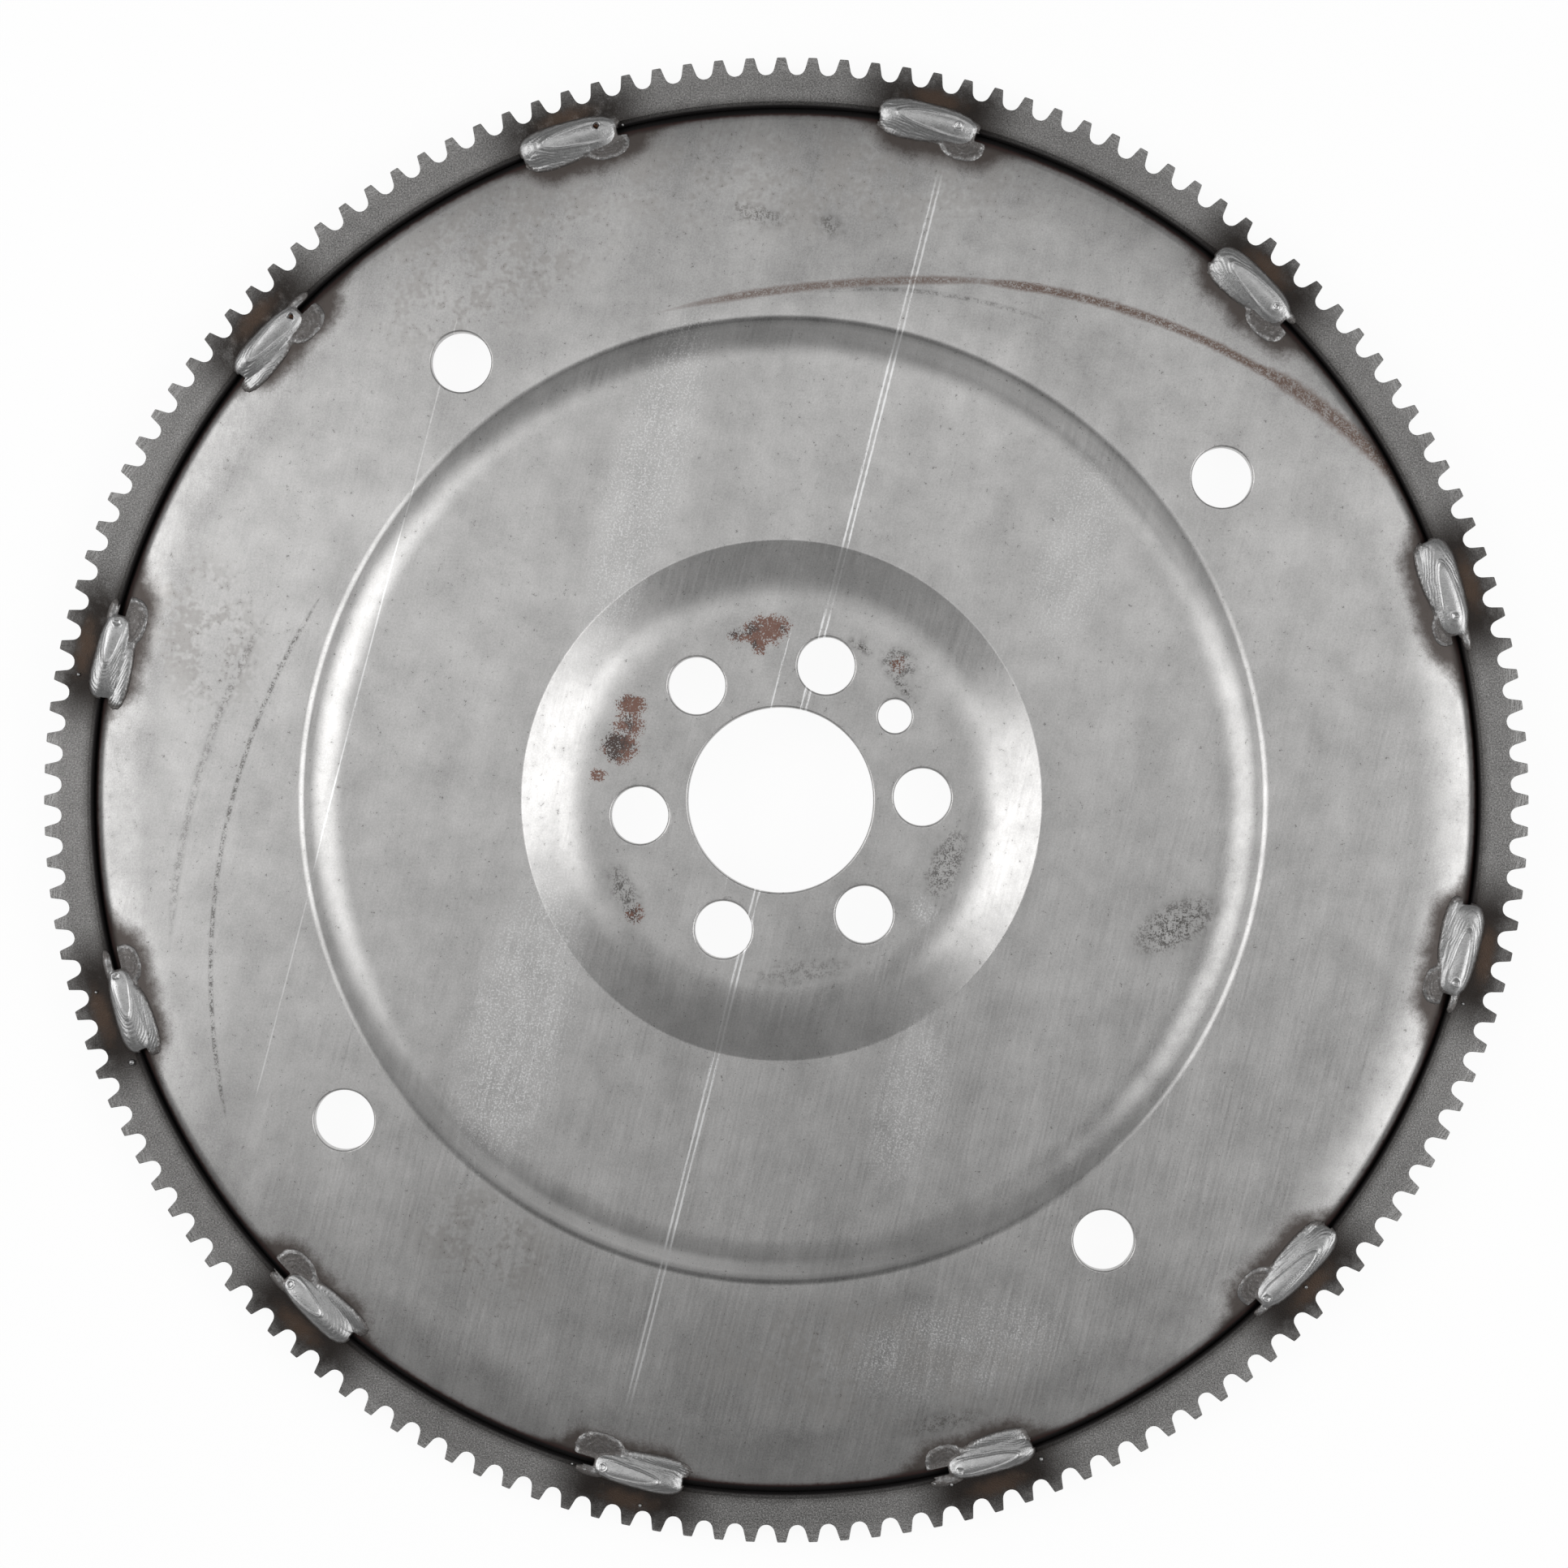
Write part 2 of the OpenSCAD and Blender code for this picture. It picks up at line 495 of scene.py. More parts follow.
PLATE_PATCHES: tuple[Patch, ...] = (
    Patch(SCUFF, (-28.8, 68.5), (36.0, 8.0), 74, 0.9),
    Patch(SCUFF, (-56.2, -48.5), (32.0, 11.0), 76, 1.0),
    Patch(SCUFF, (63.0, 54.0), (22.0, 8.0), 76, 0.7),
    Patch(SCUFF, (27.0, -63.5), (18.0, 7.0), 76, 0.7),
    Patch(SCUFF, (30.4, -23.0), (2.6, 3.6), 20, 1.0),
    Patch(SCUFF, (36.0, -116.7), (24.0, 10.0), 8, 0.8),
    Patch(SMUDGE, (17.1, 32.5), (2.8, 1.3), -28, 1.0),
    Patch(SMUDGE, (26.2, 23.6), (3.4, 1.2), -45, 1.0),
    Patch(SMUDGE, (25.0, 28.8), (4.2, 3.4), -40, 0.9),
    Patch(SMUDGE, (35.0, -13.6), (3.4, 8.5), -22, 0.9),
    Patch(SMUDGE, (-33.1, -19.6), (2.6, 6.6), 25, 0.9),
    Patch(SMUDGE, (4.9, -36.3), (12.0, 2.4), 6, 0.6),
    Patch(SMUDGE, (83.6, -26.6), (10.0, 5.0), 28, 1.0),
    Patch(SMUDGE, (34.1, -132.7), (10.0, 2.4), 12, 0.8),
    Patch(SMUDGE, (-4.7, 125.0), (6.5, 1.8), -12, 0.7),
    Patch(SMUDGE, (10.4, 122.8), (2.4, 2.4), 0, 0.9),
    Patch(STAIN, (-61.4, 116.6), (30.0, 16.0), 30, 0.9),
    Patch(STAIN, (-63.0, -95.0), (18.0, 12.0), -30, 0.9),
    Patch(STAIN, (-124.0, 35.8), (12.0, 18.0), 15, 0.9),
    Patch(STAIN, (20.0, -120.0), (40.0, 14.0), 0, 0.7),
    Patch(STAIN, (5.0, 133.0), (62.0, 13.0), 0, 0.75),
    Patch(RUST, (-3.0, 36.0), (5.4, 3.2), 12),
    Patch(RUST, (-4.6, 32.8), (2.0, 1.6)),
    Patch(RUST, (-9.0, 34.6), (2.4, 1.2), 0, 0.8),
    Patch(RUST, (-31.6, 20.2), (3.2, 2.4)),
    Patch(RUST, (-32.0, 16.0), (3.4, 3.6), 0, 0.75),
    Patch(RUST, (-34.0, 11.2), (3.8, 3.6)),
    Patch(RUST, (-38.8, 5.3), (1.7, 1.5), 0, 0.9),
    Patch(RUST, (25.0, 28.8), (2.0, 2.0), 0, 0.5),
    Patch(RUST, (-30.9, -24.3), (2.0, 2.0), 0, 0.8),
)


@dataclass(frozen=True)
class PlateSteel:
    """Bare cold-rolled sheet: a fine grain along the rolling direction, scuffs, stains and rust, with painted
    shade and highlights on the bends and painted shade at the rim and in the groove.

    The pairs are radii between which something changes: the hub's cone begins and ends, the outer step
    begins, the margin rolls over, the dark reddish tint and painted shade at the rim thicken and the painted
    groove shade covers the bend.
    """

    name: str = "plate_steel"
    steel: Color = grey(0.46, 0.012)
    pale: Color = grey(0.78)
    scratch: Color = grey(0.86)
    smudge: Color = grey(0.10, 0.05)
    stain: Color = grey(0.25, 0.05)
    streak: Color = (0.128, 0.078, 0.058, 1.0)
    rust_dark: Color = (0.046, 0.026, 0.021, 1.0)
    rust_light: Color = (0.172, 0.080, 0.056, 1.0)
    heat: Color = (0.052, 0.039, 0.033, 1.0)
    # Dark reddish tint mixed with painted shade at the rim, and near black painted shade in the groove
    rim_tint_and_shade: Color = (0.030, 0.012, 0.010, 1.0)
    groove_shade: Color = (0.005, 0.004, 0.004, 1.0)
    roughness: float = 0.36
    bump_depth: float = 0.02
    lean: float = math.radians(14.2)
    cone_starts: Place = (39.0, 42.0)
    cone_ends: Place = (58.0, 54.0)
    step_starts: Place = (96.0, 102.0)
    margin: Place = (130.0, 141.0)
    # Where the rim's tint and painted shade and the painted groove shade begin and end
    rim_tint_and_shade_at: Place = (145.6, 146.9)
    groove_shade_at: Place = (146.7, 147.3)
    heat_fade: float = 4.4
    lines: tuple[Thin, ...] = PLATE_LINES
    patches: tuple[Patch, ...] = PLATE_PATCHES
    # Painted shade and painted highlights on the bends
    painted_light: tuple[PaintedLightBand, ...] = PLATE_PAINTED_LIGHT
    scorch: Scorch = Scorch()

    def tone(self, place: Vector) -> float:
        """Works out the slow change of tone: stripes along the rolling direction, clouds, margin, and the
        painted shade and painted highlights on the bends.

        Args:
            place: Where on the sheet.

        Returns:
            A factor around 1.
        """
        rolled = Matrix.Rotation(self.lean, 2) @ place
        stripes = noise.fractal(Vector((rolled.x * 0.085, rolled.y * 0.005, 3.1)), 1.0, 2.0, 3)
        clouds = noise.fractal(Vector((place.x * 0.04, place.y * 0.04, 7.7)), 0.8, 2.0, 3)
        margin = smooth_step(place.length, *self.margin)
        # Painted shade and painted highlights on the bends, strongest where the lamps light them more or less
        painted_light = sum(band.change(place) for band in self.painted_light)
        return 1 + stripes * 0.09 + clouds * 0.08 - margin * 0.14 + painted_light

    def wear(self, place: Vector) -> float:
        """Works out how well the long scratches show, which is least on the hub's cone.

        Args:
            place: Where on the sheet.

        Returns:
            A share of their strength.
        """
        radius = place.length
        cone = smooth_step(radius, *self.cone_starts) * smooth_step(radius, *self.cone_ends)
        return 1 - 0.75 * cone - 0.4 * smooth_step(radius, *self.step_starts)

    def rim_reach(self, place: Vector) -> float:
        """Gives the radius for the rim's tint and painted shade, which starts further out at the left and
        right, where the lamps light the bend.
        """
        side = place.normalized().x
        return place.length - 0.1 * side - 0.9 * side**2

    def distance(self, line: Thin, place: Vector) -> float:
        """Measures from a thin mark.

        Args:
            line: The mark.
            place: Where on the sheet.

        Returns:
            The distance in widths, which get narrower towards the ends of a single line.
        """
        share = line.cover(place) / line.strength
        if share < 1 / FAR:
            return FAR
        return line.aside(place) / (1.0 if line.gap else share)

    def paint(self, mesh: bpy.types.Mesh) -> None:
        """Writes the slow changes and the marks to the mesh, as one number for each vertex.

        Args:
            mesh: The sheet's mesh, in metres.
        """
        turn = Matrix.Rotation(VIEW_TURN, 2)
        places = [turn @ vert.co.xy / MM for vert in mesh.vertices]
        upper = [vert.normal.z > 0 for vert in mesh.vertices]

        def write(name: str, values: Iterable[float]) -> None:
            """Writes one attribute."""
            mesh.attributes.new(name, "FLOAT", "POINT").data.foreach_set("value", list(values))

        write("tone", map(self.tone, places))
        write("scorch", map(self.scorch.reach, places))
        write("rim", map(self.rim_reach, places))
        for number, line in enumerate(self.lines):
            write(f"line_{number}", (self.distance(line, place) for place in places))
        for effect in Effect:
            marks = [mark for mark in (*self.lines, *self.patches) if mark.effect is effect]
            cover = [
                max(mark.cover(place) for mark in marks) if up else 0.0 for place, up in zip(places, upper)
            ]
            if effect is SCRATCH:
                cover = [value * self.wear(place) for value, place in zip(cover, places)]
            write(effect.value, cover)

    def drawn(self, g: Graph, number: int, wobble: Signal) -> Signal:
        """Draws one thin mark.

        Args:
            g: The material's graph.
            number: The mark's place in the list of lines.
            wobble: Noise around 0 that makes its edges uneven.

        Returns:
            1 on the mark and 0 beside it.
        """
        line = self.lines[number]
        side = abs(g.attribute(f"line_{number}"))
        if line.gap:
            side = abs(side - line.gap / 2 / line.width)
        return (side + wobble).smooth(1.0, 0.35)

    def masks(self, g: Graph, wobble: Signal) -> dict[Effect, Signal]:
        """Works out where each effect lies.

        Args:
            g: The material's graph.
            wobble: Noise around 0 that makes the edges of the lines uneven.

        Returns:
            One mask for each effect.
        """
        masks: dict[Effect, Signal] = {}
        for effect in Effect:
            masks[effect] = g.attribute(effect.value)
            numbers = [number for number, line in enumerate(self.lines) if line.effect is effect]
            if numbers:
                masks[effect] *= reduce(Signal.most, [self.drawn(g, number, wobble) for number in numbers])
        return masks

    def build(self) -> bpy.types.Material:
        """Makes the material.

        Returns:
            The material.
        """
        metal = Metal(self.name)
        g = metal.graph
        where = metal.where
        streaks = g.noise(where.turned(self.lean), (2.0, 0.06), 2.0, 0.65)
        grain = g.noise(where, 2.4, 2.0, 0.75)
        crumbs = g.noise(where, 0.6, 5.0, 0.75)
        blots = g.noise(where, 0.12, 3.0, 0.6)
        masks = self.masks(g, (crumbs - 0.5) * 1.3)

        shade = g.attribute("tone") + (streaks - 0.5) * 0.14 + (blots - 0.5) * 0.42 + (grain - 0.5) * 0.45
        color = g.shaded(self.steel[:3], shade)
        speckle = (grain * 0.6 + crumbs * 0.5 + streaks * 0.15).smooth(0.64, 0.78)
        scuff = masks[SCUFF] * (speckle * 0.7 + 0.1)
        color = g.mix(scuff, color, self.pale)
        stain = masks[STAIN] * (crumbs + blots).smooth(0.94, 1.12)
        color = g.mix(stain * 0.6, color, self.stain)
        smudge = masks[SMUDGE].most(masks[DRAG]) * (grain * 0.4 + crumbs * 0.7).smooth(0.48, 0.66)
        pits = (crumbs + grain * 0.3).smooth(0.82, 0.90)
        color = g.mix(smudge.most(pits * 0.7), color, self.smudge)
        scratch = masks[SCRATCH] * (streaks + grain * 0.6).smooth(0.45, 0.8)
        color = g.mix(scratch, color, self.scratch)
        streak = masks[STREAK] * ((crumbs * 0.6 + grain * 0.6).smooth(0.45, 0.66) * 0.72 + 0.24)
        color = g.mix(streak, color, self.streak)
        flakes = (masks[RUST] + (crumbs + grain - 1.0) * 2.0).smooth(0.48, 0.66)
        rust = flakes * masks[RUST].smooth(0.02, 0.25)
        rust_color = g.mix((blots + crumbs * 0.8).smooth(0.78, 0.96), self.rust_dark, self.rust_light)
        color = g.mix(rust * 0.94, color, rust_color)

        scorch = g.attribute("scorch") + (crumbs - 0.5) * 3 + (blots - 0.5) * 3
        heat = scorch.smooth(self.heat_fade, 0.0)
        color = g.mix(heat * 0.92, color, self.heat)
        # Painted shade at the rim: a dark reddish fringe, part tint and part painted shade, then near black
        # painted shade down the bend into the groove
        rim = g.attribute("rim")
        rim_tint_and_shade = (rim + (crumbs - 0.5) * 0.8).smooth(*self.rim_tint_and_shade_at)
        color = g.mix(rim_tint_and_shade, color, self.rim_tint_and_shade)
        color = g.mix(rim.smooth(*self.groove_shade_at), color, self.groove_shade)

        dull = rust.most(rim_tint_and_shade).most(heat * 0.45).most(streak * 0.5)
        uneven = (streaks - 0.5) * 0.14 + (crumbs - 0.5) * 0.12
        g.finish(
            Base_Color=color,
            Metallic=1 - dull * 0.85,
            Roughness=self.roughness + uneven + scuff * 0.1 + smudge * 0.12 + dull * 0.35,
            Normal=g.bump(streaks * 0.15 + grain * 0.4, self.bump_depth),
        )
        return metal.material


@dataclass(frozen=True)
class RingSteel:
    """Dark heat-treated steel with a grainy face, turned tooth faces and burnt stretches at the beads.

    The pairs are distances between which something changes: along the joint and outwards from it for the
    burnt stretches, and radii for the turned tips, the dark inner edge and the painted shade in the groove.
    """

    name: str = "ring_steel"
    steel: Color = grey(0.205, 0.02)
    bright: Color = grey(0.40, 0.01)
    burnt: Color = (0.024, 0.020, 0.018, 1.0)
    tint: Color = (0.13, 0.085, 0.060, 1.0)
    # Near black painted shade in the groove
    groove_shade: Color = (0.006, 0.004, 0.004, 1.0)
    roughness: float = 0.5
    bump_depth: float = 0.07
    burnt_along: Place = (21.0, 8.0)
    burnt_outward: Place = (16.0, 5.0)
    tips_at: Place = (154.6, 157.4)
    edge_at: Place = (151.2, 148.9)
    groove_shade_at: Place = (149.0, 148.65)
    tint_half: float = 6.5
    tint_outward: float = 5.5

    def build(self) -> bpy.types.Material:
        """Makes the material.

        Returns:
            The material.
        """
        metal = Metal(self.name)
        g = metal.graph
        where = metal.where
        along, radius = metal.joint()
        outward = radius - JOINT_R
        grain = g.noise(where, 3.0, 2.0, 0.7)
        mottle = g.noise(where, 0.35, 3.0, 0.6)
        clouds = g.noise(where, 0.03, 2.0, 0.55)
        turned = g.noise(g.vector(outward - along * 0.2, along, 0.0), (3.0, 0.3), 3.0, 0.7)

        near = (outward + (mottle - 0.5) * 5).smooth(*self.burnt_outward)
        burnt = abs(along).smooth(*self.burnt_along) * near * (clouds + mottle * 0.6).smooth(0.25, 0.7)
        shade = 1 + (grain - 0.5) * 2.0 + (mottle - 0.5) * 0.3 + (clouds - 0.5) * 0.4
        color = g.shaded(self.steel[:3], shade)
        tips = radius.smooth(*self.tips_at) * turned.smooth(0.42, 0.62) * (1 - burnt)
        color = g.mix(tips * 0.5, color, self.bright)
        color = g.mix(grain.smooth(0.58, 0.72) * 0.45, color, self.bright)
        color = g.mix(burnt * 0.96, color, self.burnt)
        beside, above = along / self.tint_half, outward - self.tint_outward
        warm = (beside * beside + above * above / 5.0).root()
        color = g.mix((warm + (mottle - 0.5) * 0.9).smooth(1.3, 0.2) * 0.4, color, self.tint)
        edge = (radius + (mottle - 0.5) * 0.6).smooth(*self.edge_at)
        color = g.mix(edge * 0.5, color, self.burnt)
        # Painted shade: the ring turns near black and dull where it dips into the groove
        groove = radius.smooth(*self.groove_shade_at)
        color = g.mix(groove, color, self.groove_shade)

        g.finish(
            Base_Color=color,
            Metallic=1 - groove * 0.9,
            Roughness=self.roughness + (grain - 0.5) * 0.25 - tips * 0.1 + groove * 0.3,
            Normal=g.bump(grain + turned * tips * 0.4, self.bump_depth),
        )
        return metal.material


@dataclass(frozen=True)
class WeldMetal:
    """Rippled weld metal: bright where it froze last, dark and crusted at its toes."""

    name: str = "weld_metal"
    metal: Color = grey(0.33)
    pool: Color = grey(0.42)
    spark: Color = grey(0.66)
    crust: Color = (0.070, 0.060, 0.055, 1.0)
    pit: Color = (0.060, 0.030, 0.018, 1.0)
    roughness: float = 0.30
    bump_depth: float = 0.04

    def build(self) -> bpy.types.Material:
        """Makes the material.

        Returns:
            The material.
        """
        metal = Metal(self.name)
        g = metal.graph
        toe, pool, pit = (g.attribute(key) for key in BEAD_KEYS)
        grain = g.noise(metal.where, 3.0, 3.0, 0.7, flat=False)
        mottle = g.noise(metal.where, 0.7, 3.0, 0.6, flat=False)
        shade = 1 + (grain - 0.5) * 0.6 + (mottle - 0.5) * 0.5
        color = g.shaded(g.mix(pool, self.metal, self.pool), shade)
        crust = (toe + (mottle - 0.5) * 1.2 + (grain - 0.5) * 0.9).smooth(0.2, 0.8)
        color = g.mix(crust * 0.85, color, self.crust)
        color = g.mix(grain.smooth(0.58, 0.70) * toe * 0.4, color, self.spark)
        color = g.mix(pit.smooth(0.25, 0.6), color, self.pit)
        g.finish(
            Base_Color=color,
            Metallic=1 - crust * 0.35,
            Roughness=self.roughness + (grain - 0.5) * 0.2 + crust * 0.2,
            Normal=g.bump(grain, self.bump_depth),
        )
        return metal.material


def polar(radius: float, angle: float) -> Place:
    """Gives the place at a radius and an angle."""
    return radius * math.cos(angle), radius * math.sin(angle)


def arc_points(centre: Place, radius: float, first: float, last: float, step: float = 3.0) -> list[Place]:
    """Walks along a circle.

    Args:
        centre: The circle's centre.
        radius: Its radius.
        first: The angle of the first point, in degrees.
        last: The angle of the last point.
        step: The largest angle between two points.

    Returns:
        The points, with both ends.
    """
    count = max(3, math.ceil(abs(last - first) / step))
    angles = (math.radians(first + (last - first) * i / count) for i in range(count + 1))
    return [(centre[0] + radius * math.cos(a), centre[1] + radius * math.sin(a)) for a in angles]


def filled(points: Sequence[Place], gap: float) -> list[Place]:
    """Adds points to the long straight stretches of an outline.

    Args:
        points: The outline.
        gap: The longest stretch that stays as it is.

    Returns:
        The outline with the added points.
    """
    result: list[Place] = [points[0]]
    for a, b in zip(points, points[1:]):
        count = max(1, math.ceil(math.dist(a, b) / gap))
        run, rise = b[0] - a[0], b[1] - a[1]
        result += [(a[0] + run * i / count, a[1] + rise * i / count) for i in range(1, count + 1)]
    return result


def revolve(bm: bmesh.types.BMesh, section: Sequence[Place], steps: int, axis_at: Place = (0.0, 0.0)) -> None:
    """Spins a closed section about an upright axis.

    Args:
        bm: The mesh that the shape goes into.
        section: Its points as distance from the axis and height.
        steps: The number of steps in the full turn.
        axis_at: Where the axis stands.
    """
    ring = [bm.verts.new((axis_at[0] + r, axis_at[1], z)) for r, z in section]
    edges = [bm.edges.new(pair) for pair in zip(ring, ring[1:] + ring[:1])]
    bmesh.ops.spin(
        bm,
        geom=ring + edges,
        cent=(axis_at[0], axis_at[1], 0.0),
        axis=(0.0, 0.0, 1.0),
        angle=math.tau,
        steps=steps,
        use_merge=True,
    )


def finished(bm: bmesh.types.BMesh, name: str, sharp: float = 30.0) -> bpy.types.Object:
    """Turns a mesh in millimetres into a smooth object in metres.

    Args:
        bm: The mesh, which is used up.
        name: The object's name.
        sharp: The angle in degrees above which an edge stays sharp.

    Returns:
        The object, linked to the scene.
    """
    bmesh.ops.remove_doubles(bm, verts=bm.verts[:], dist=DOUBLE)
    bmesh.ops.recalc_face_normals(bm, faces=bm.faces[:])
    bmesh.ops.scale(bm, vec=(MM, MM, MM), verts=bm.verts[:])
    mesh = bpy.data.meshes.new(name)
    bm.to_mesh(mesh)
    bm.free()
    mesh.shade_smooth()
    mesh.set_sharp_from_angle(angle=math.radians(sharp))
    piece = bpy.data.objects.new(name, mesh)
    bpy.context.scene.collection.objects.link(piece)
    return piece


def settle(piece: bpy.types.Object, material: bpy.types.Material, node: str) -> None:
    """Puts a finished piece in its node's place.

    Args:
        piece: The piece.
        material: Its finish.
        node: The node that it stands for.
    """
    piece.data.materials.clear()
    piece.data.materials.append(material)
    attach(piece, BODY)
    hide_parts(node)
    LOG.info("%s stands for %s with %d faces", piece.name, node, len(piece.data.polygons))


@dataclass
class PressedPlate:
    """The pressed sheet: hub, two steps, rolled margin and flange, with its punched holes.

    The last sizes say how finely it is meshed. The points on its upper face are close together, because the
    marks are painted on them.
    """

    mounts: Sequence[dict[str, Any]]
    finish: PlateSteel = field(default_factory=PlateSteel)
    bore: str = "crank_bore"
    sheet: float = 3.0
    hub_flat_r: float = 39.6
    hub_foot_r: float = 55.6
    hub_rise: float = 4.4
    hub_shoulder: float = 23.0
    hub_crease: float = 1.3
    step_flat_r: float = 93.6
    step_foot_r: float = 103.85
    step_rise: float = 3.0
    step_shoulder: float = 15.5
    step_crease: float = 3.2
    roll_run: float = 11.0
    roll_drop: float = 1.1
    rim_bend: float = 4.0
    rim_r: float = 148.6
    flange_h: float = 8.5
    edge_roll: float = 0.5
    punch_lift: float = 0.01
    sharp: float = 40.0
    steps: int = 360
    hole_steps: int = 72
    bend_step: float = 2.0
    rim_step: float = 6.0
    lip_step: float = 15.0
    upper_gap: float = 1.5
    lower_gap: float = 8.0

    def __post_init__(self) -> None:
        """Works out the heights and the bends of the rolled margin."""
        self.hub_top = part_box("plate")[1].z / MM
        self.middle_top = self.hub_top - self.hub_rise
        self.outer_top = self.middle_top - self.step_rise
        self.roll_bend = (self.roll_run**2 + self.roll_drop**2) / (2 * self.roll_drop)
        self.roll_slope = 2 * math.degrees(math.atan(self.roll_drop / self.roll_run))
        slope = math.radians(self.roll_slope)
        self.bend_r = self.rim_r - self.rim_bend
        self.bend_z = self.outer_top - self.roll_drop - self.rim_bend * math.cos(slope)
        self.roll_r = self.bend_r + self.rim_bend * math.sin(slope) - self.roll_run

    def step_down(self, start: Place, end: Place, bend: float, crease: float, depth: float) -> list[Place]:
        """Runs down one step.

        Args:
            start: The radius and height where the upper flat ends.
            end: The radius and height where the lower flat begins.
            bend: The bend radius of the shoulder.
            crease: The bend radius at the foot.
            depth: How far below the sheet's upper face the line runs.

        Returns:
            The points of the shoulder and the crease.
        """
        run, rest = end[0] - start[0], bend + crease - (start[1] - end[1])
        slope = math.degrees(math.asin((bend + crease) / math.hypot(run, rest)) - math.atan2(rest, run))
        shoulder = arc_points((start[0], start[1] - bend), bend - depth, 90, 90 - slope, self.bend_step)
        foot = arc_points((end[0], end[1] + crease), crease + depth, 270 - slope, 270)
        return shoulder + foot

    def face(self, depth: float) -> list[Place]:
        """Runs from the hub's shoulder to the flange.

        Args:
            depth: How far below the sheet's upper face the line runs.

        Returns:
            The points as radius and height.
        """
        slope = self.roll_slope
        hub = (self.hub_flat_r, self.hub_top), (self.hub_foot_r, self.middle_top)
        step = (self.step_flat_r, self.middle_top), (self.step_foot_r, self.outer_top)
        roll_at = (self.roll_r, self.outer_top - self.roll_bend)
        return (
            self.step_down(*hub, self.hub_shoulder, self.hub_crease, depth)
            + self.step_down(*step, self.step_shoulder, self.step_crease, depth)
            + arc_points(roll_at, self.roll_bend - depth, 90, 90 - slope, self.bend_step)
            + arc_points((self.bend_r, self.bend_z), self.rim_bend - depth, 90 - slope, 0, self.rim_step)
        )

    def lip(self, radius: float, top: float) -> list[Place]:
        """Gives the rolled upper edge of a hole with a radius, from its wall up to the face at top."""
        roll = self.edge_roll
        return arc_points((radius + roll, top - roll), roll, 180, 90, self.lip_step)

    def section(self, bore_r: float) -> list[Place]:
        """Draws the section of the sheet outside the centre hole.

        Args:
            bore_r: The radius of the centre hole.

        Returns:
            The closed outline as radius and height.
        """
        flange_z = self.outer_top - self.flange_h
        upper = self.lip(bore_r, self.hub_top) + self.face(0.0) + [(self.rim_r, flange_z)]
        lower = [(self.rim_r - self.sheet, flange_z)] + self.face(self.sheet)[::-1]
        lower.append((bore_r, self.hub_top - self.sheet))
        return filled(upper, self.upper_gap) + filled(lower, self.lower_gap)

    def holes(self) -> list[tuple[Place, float, float]]:
        """Reads the holes beside the centre hole from the record's mounts.

        Returns:
            The place, radius and upper height of each hole.
        """
        found: list[tuple[Place, float, float]] = []
        for mount in self.mounts:
            x, y = (value / MM for value in mount["pos_m"][:2])
            dims = mount["dims"]
            if mount["kind"] == "bore" and mount["name"] != self.bore:
                found.append(((x, y), dims["r_mm"], self.hub_top))
            elif "spacing_y_mm" in dims:
                half = dims["spacing_y_mm"] / 2
                found += [((x, y + side * half), dims["hole_r_mm"], self.hub_top) for side in (-1, 1)]
            elif "pcd_mm" in dims:
                radius, count = dims["pcd_mm"] / 2, dims["count"]
                places = [polar(radius, math.tau * i / count) for i in range(count)]
                found += [(place, dims["hole_r_mm"], self.outer_top) for place in places]
        return found

    def punches(self) -> bpy.types.Object:
        """Makes the cutters of the holes, which flare at the upper face.

        Returns:
            One object with all cutters.
        """
        bm = bmesh.new()
        for place, radius, top in self.holes():
            below, above = top - 2 * self.sheet, top + self.sheet
            section = [(0.0, below), (radius, below), *self.lip(radius, top + self.punch_lift)]
            section += [(radius + self.edge_roll, above), (0.0, above)]
            revolve(bm, section, self.hole_steps, place)
        return finished(bm, "punches")

    def build(self) -> bpy.types.Object:
        """Spins the sheet, punches its holes and dresses it.

        Returns:
            The finished plate.
        """
        bore = next(mount for mount in self.mounts if mount["name"] == self.bore)
        bm = bmesh.new()
        revolve(bm, self.section(bore["dims"]["r_mm"]), self.steps)
        piece = finished(bm, "pressed_plate", self.sharp)
        cutter = self.punches()
        cut = piece.modifiers.new("holes", "BOOLEAN")
        cut.object = cutter
        cut.operation = "DIFFERENCE"
        cut.solver = "EXACT"
        graph = bpy.context.evaluated_depsgraph_get()
        mesh = bpy.data.meshes.new_from_object(piece.evaluated_get(graph))
        piece.modifiers.clear()
        piece.data = mesh
        bpy.data.objects.remove(cutter)
        mesh.shade_smooth()
        mesh.set_sharp_from_angle(angle=math.radians(self.sharp))
        self.finish.paint(mesh)
        piece.modifiers.new("even_shading", "WEIGHTED_NORMAL").keep_sharp = True
        settle(piece, self.finish.build(), "plate")
        return piece


